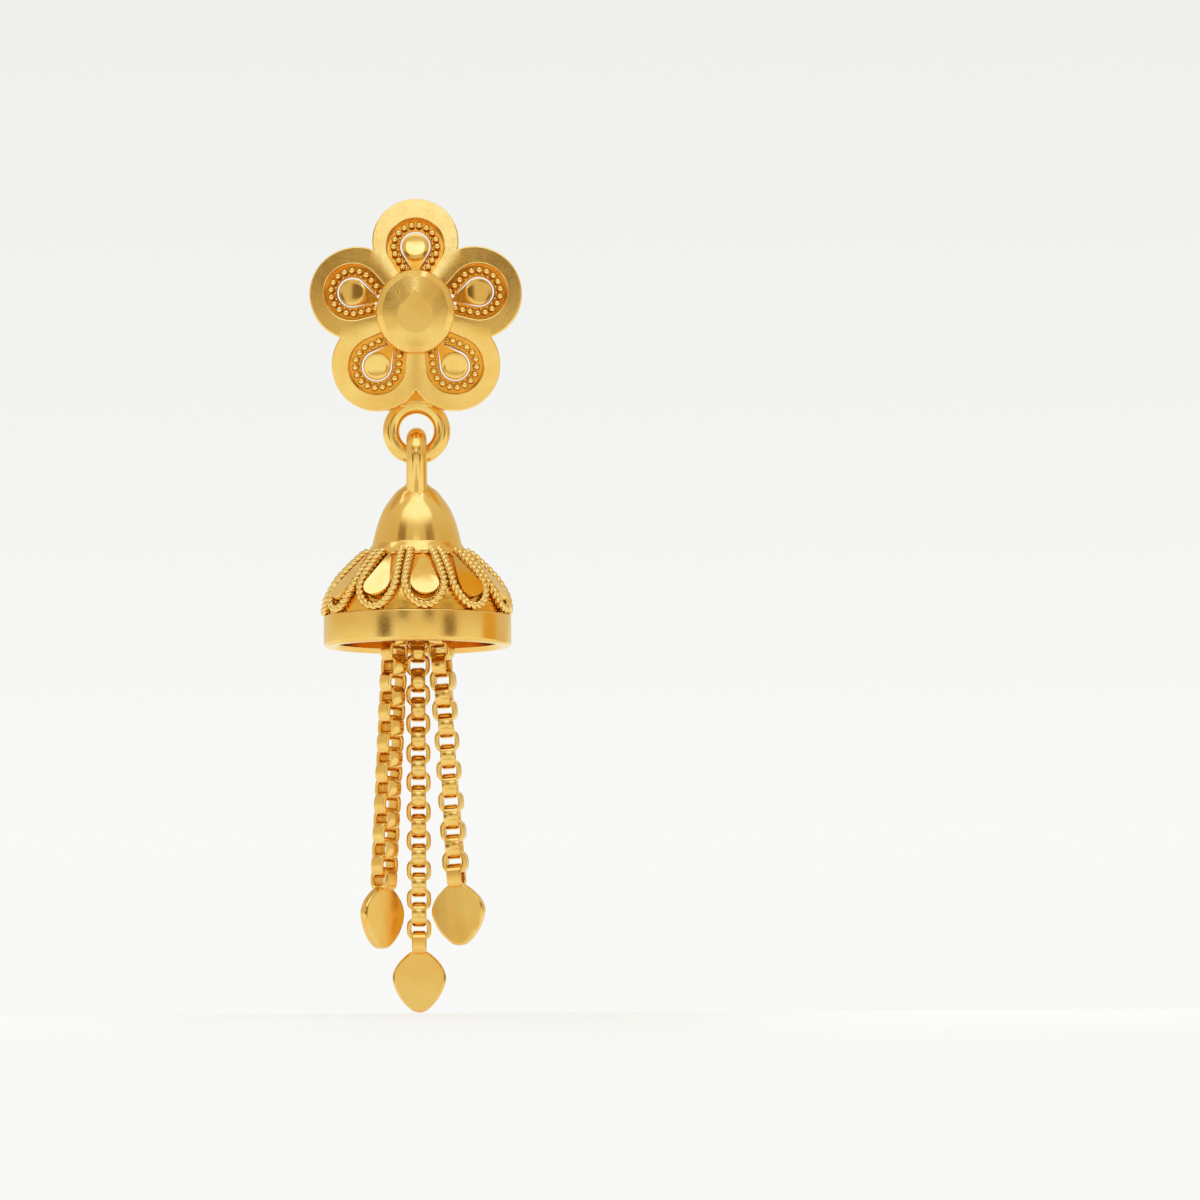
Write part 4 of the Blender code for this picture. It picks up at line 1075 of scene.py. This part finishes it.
LOOP_CENTRES = [LOOP_TURN + math.tau * index / LOOPS for index in range(LOOPS)]
for number, centre in enumerate(LOOP_CENTRES, 1):
    rope = twisted_rope(f"twisted_rope_{number}", centre)
    scene.collection.objects.link(rope)
    hand_over(rope, "drop", "rope_gold", f"rope_loop_{number}")
print("ropes:", LOOPS, "with", len(rope.data.splines[0].points), "points a strand")

# %% [markdown]
# Inside each rope lies a polished teardrop. Its round end is a flat disc, and its tail folds back a little
# from the disc's edge up towards the dome, so the two catch the light differently. The disc is a circle,
# the tail is filled between the circle and a tip laid on the skirt, and both are pushed back to a wall.

# %% Make the polished teardrops
TEAR_RADIUS, TEAR_MIDDLE, TEAR_TOP, TEAR_LIFT, TIP_LIFT, TEAR_WALL = 0.80, 3.08, 0.66, 0.31, 0.31, 0.26
TEAR_SLOPE = math.radians(52)
TIP_WIDTH = 0.035


def add_teardrop(work):
    """One teardrop at the front of the bell, before it is turned to its loop."""
    middle, tip = on_skirt(TEAR_MIDDLE, TEAR_LIFT), on_skirt(TEAR_TOP, TIP_LIFT)
    place = Matrix.Translation((0, HANG_Y - middle.x, middle.y)) @ Matrix.Rotation(TEAR_SLOPE, 4, "X")
    circle = bmesh.ops.create_circle(work, cap_ends=True, segments=48, radius=TEAR_RADIUS, matrix=place)["verts"]
    tail = (Vector((0, HANG_Y - tip.x, tip.y)) - place.translation).length
    touch = math.asin(TEAR_RADIUS / tail)
    upward = place.to_3x3() @ Vector((0, 1, 0))
    least = TEAR_RADIUS * math.sin(touch) - 0.01
    arc = [vert for vert in circle if (vert.co - place.translation).dot(upward) > least]
    arc.sort(key=lambda vert: vert.co.x)
    tips = [work.verts.new((side * TIP_WIDTH, HANG_Y - tip.x, tip.y)) for side in (1, -1)]
    work.faces.new([*arc, *tips])
    return place.to_3x3() @ Vector((0, 0, 1))


for number, centre in enumerate(LOOP_CENTRES, 1):
    work = bmesh.new()
    facing = add_teardrop(work)
    bmesh.ops.recalc_face_normals(work, faces=work.faces)
    make_thick(work, -facing * TEAR_WALL)
    bmesh.ops.rotate(work, cent=(0, HANG_Y, 0), matrix=Matrix.Rotation(centre, 3, "Z"), verts=work.verts)
    finish_piece(work, f"polished_teardrop_{number}", "drop", "polished_gold", f"rope_loop_{number}", crisp=8)

# %% [markdown]
# ## The hoop inside the bell
#
# The chains need something to hang on. A plain hoop with three spokes is soldered across the inside of the
# bell, out of sight. Each spoke is a circle pushed out to the wall.

# %% Make the hoop and its spokes
HOOP_RADIUS, HOOP_WIRE, HOOP_Z = 1.30, 0.20, -15.605
SPOKE_ANGLES, SPOKE_REACH, SPOKE_RADIUS = (30, 150, 270), 4.12, 0.18
work = bmesh.new()
add_wire_ring(work, (0, HANG_Y, HOOP_Z), HOOP_RADIUS, HOOP_WIRE, (0, 0, 1), steps=64, sides=16)
for angle in SPOKE_ANGLES:
    outward = Matrix.Rotation(math.radians(angle), 4, "Z") @ Matrix.Translation((HOOP_RADIUS, 0, 0))
    place = Matrix.Translation((0, HANG_Y, HOOP_Z)) @ outward @ Matrix.Rotation(math.pi / 2, 4, "Y")
    circle = bmesh.ops.create_circle(work, cap_ends=True, segments=16, radius=SPOKE_RADIUS, matrix=place)["verts"]
    reach = Matrix.Rotation(math.radians(angle), 3, "Z") @ Vector((SPOKE_REACH - HOOP_RADIUS, 0, 0))
    push_face(work, circle[0].link_faces[0], reach)
# the hoop out of sight inside the bell takes the deep orange gold that paints shade
finish_piece(work, "inner_hoop", "drop", "recess_gold", "chain_hanger")

# %% [markdown]
# ## The box chains
#
# A box chain's link is a strip of sheet bent round to a rounded box. Every link passes through the two
# beside it at a right angle, so links face the front and the side by turns. One link is modelled with care
# and copied: two circles stretched to straight sides, a bridge between them, a push backwards for the
# strip's width and a small bevel on its rims. It would be easy to make an oval ring of round wire instead,
# but the flat strip with its crisp rims is what makes a box chain glitter.

# %% Model one link
LINK_HEIGHT, LINK_HALF_WIDTH, LINK_BAND, LINK_BAR = 1.445, 0.70, 0.82, 0.31
LINK_OPENING, LINK_STRAIGHT = 0.44, 0.15  # half the width of the opening, half the height of the straight sides
LINK_SQUARE, LINK_NARROWING = 0.42, 0.26  # from this height on, the strip narrows towards the bends
LINK_GROWTH = 4  # the straight sides' shift grows from the middle and is full at a fourth of the way up
LINK_BEVEL = 0.05
link_shape = bmesh.new()
half = LINK_HEIGHT / 2
for across, upright in ((LINK_HALF_WIDTH, half), (LINK_OPENING, half - LINK_BAR)):
    ring = bmesh.ops.create_circle(
        link_shape, cap_ends=False, segments=24, radius=1, matrix=Matrix.Rotation(math.pi / 2, 4, "X"),
    )["verts"]
    for vert in ring:
        flat = math.copysign(LINK_STRAIGHT, vert.co.z) * min(1, LINK_GROWTH * abs(vert.co.z))
        vert.co = (vert.co.x * across, 0, vert.co.z * (upright - LINK_STRAIGHT) + flat)
bmesh.ops.bridge_loops(link_shape, edges=link_shape.edges[:])
make_thick(link_shape, (0, LINK_BAND, 0))
bmesh.ops.translate(link_shape, vec=(0, -LINK_BAND / 2, 0), verts=link_shape.verts)
bmesh.ops.recalc_face_normals(link_shape, faces=link_shape.faces)
bmesh.ops.bevel(link_shape, geom=level_edges(link_shape, 1), offset=LINK_BEVEL, affect="EDGES", segments=2, **BEVEL)
for vert in link_shape.verts:
    bend = max(0, abs(vert.co.z) - LINK_SQUARE) / (half - LINK_SQUARE)
    vert.co.y *= 1 - LINK_NARROWING * bend**2
link_mesh = bpy.data.meshes.new("one_link")
link_shape.to_mesh(link_mesh)
link_shape.free()
print("one link has", len(link_mesh.polygons), "faces")

# %% Find the place of every link
JOINED, BREAK_STEP = 4, 0.80
CHAINS = {  # links, where round the hoop it starts, where its last link hangs, and how its links are turned
    "left": {"links": 19, "start": 210.5, "foot": -1.95, "foot_z": -32.26, "turns": (38, 43, 44.5)},
    "centre": {"links": 24, "start": 90, "foot": 0, "foot_z": -35.80, "turns": (0, 0, 0)},
    "right": {"links": 19, "start": 329.5, "foot": 2.15, "foot_z": -32.10, "turns": (-38, 0, -14)},
}


def chain_places(chain):
    """The matrix of every link from the hoop down, the leaf's own link last."""
    turn = math.radians(chain["start"])
    top = Vector((HOOP_RADIUS * math.cos(turn), HANG_Y + HOOP_RADIUS * math.sin(turn), 0))
    top.z = HOOP_Z + HOOP_WIRE + SEAM - (LINK_HEIGHT / 2 - LINK_BAR)
    run = Vector((chain["foot"], top.y, chain["foot_z"])) - top
    count = chain["links"]
    breaks = math.ceil(count / JOINED)
    step = (run.length - breaks * BREAK_STEP) / (count - breaks)
    down = run.normalized()
    tilt = Vector((0, 0, -1)).rotation_difference(down).to_matrix().to_4x4()
    first, middle, last = chain["turns"]
    places, distance = [], 0
    for index in range(count + 1):
        if index:
            distance += BREAK_STEP if index % JOINED == 0 or index == count else step
        share = index / count
        angle = first + (middle - first) * min(share * 2, 1) + (last - middle) * max(share * 2 - 1, 0)
        angle += 90 * ((count - index + 1) % 2)
        places.append(Matrix.Translation(top + down * distance) @ tilt @ Matrix.Rotation(math.radians(angle), 4, "Z"))
    return places


CHAIN_PLACES = {side: chain_places(chain) for side, chain in CHAINS.items()}
print("links:", {side: len(places) - 1 for side, places in CHAIN_PLACES.items()})

# %% Make the three chains
def add_link(work, place):
    """One more link in a shape."""
    before = set(work.verts)
    work.from_mesh(link_mesh)
    bmesh.ops.transform(work, matrix=place, verts=[vert for vert in work.verts if vert not in before])


for side, places in CHAIN_PLACES.items():
    work = bmesh.new()
    for place in places[:-1]:
        add_link(work, place)
    stretches = sorted(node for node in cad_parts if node.startswith(f"chain_{side}_"))
    finish_piece(work, f"box_chain_{side}", "drop", "chain_gold", *stretches, crisp=28)

# %% [markdown]
# ## The leaves
#
# Each chain ends in a flat leaf cut from thick sheet, widest about its middle and drawn to a soft point. One
# side of its outline is a smooth template through measured points, and the other is its mirror image. The
# faces are satin and bulge a little, the left one's most. They are cut into strips first, so that there is
# something to bend. The narrow chamfer round them is bright, which is what draws the leaf's edge. The last
# link of the chain is soldered to it.

# %% Make the leaves
LEAF_SIDE = (  # aside and upwards, from the top to the tip
    (0.0, 1.66), (0.50, 1.43), (0.93, 1.08), (1.28, 0.67), (1.49, 0.22), (1.51, -0.18), (1.29, -0.82), (0.90, -1.42),
    (0.43, -1.86), (0.20, -1.96), (0.0, -1.99),
)
LEAF_THICKNESS, LEAF_DROP, LEAF_CHAMFER = 0.68, 1.95, 0.12
LEAF_CROWNS = {"left": 0.036, "centre": 0.006, "right": 0.006}  # how much the faces bulge, per mm squared
LEAF_CUTS, LEAF_CUT_REACH = 12, 1.45
leaf_side = template(LEAF_SIDE, 4)
leaf_outline = leaf_side + [Vector((-point.x, point.y)) for point in reversed(leaf_side[1:-1])]
for side, places in CHAIN_PLACES.items():
    work = bmesh.new()
    corners = draw_line(work, [(point.x, 0, point.y) for point in leaf_outline])
    work.edges.new((corners[-1], corners[0]))
    bmesh.ops.contextual_create(work, geom=work.edges[:])
    bmesh.ops.translate(work, vec=(0, -LEAF_THICKNESS / 2, -LEAF_DROP), verts=work.verts)
    push_face(work, work.faces[:][0], (0, LEAF_THICKNESS, 0))
    bmesh.ops.bevel(work, geom=level_edges(work, 1), offset=LEAF_CHAMFER, affect="EDGES", segments=2, **BEVEL)
    for cut in range(1, LEAF_CUTS):
        cut_across(work, ((2 * cut / LEAF_CUTS - 1) * LEAF_CUT_REACH, 0, 0), (1, 0, 0))
    bmesh.ops.triangulate(work, faces=[face for face in work.faces if len(face.verts) > 4])
    for vert in work.verts:
        vert.co.y *= 1 - LEAF_CROWNS[side] / (LEAF_THICKNESS / 2) * vert.co.x**2
    facing = places[-1] @ Matrix.Rotation(-math.pi / 2, 4, "Z")
    bmesh.ops.transform(work, matrix=facing, verts=work.verts)
    add_link(work, places[-1])
    finish_piece(work, f"satin_leaf_{side}", "drop", "leaf_gold", f"leaf_{side}", crisp=14)
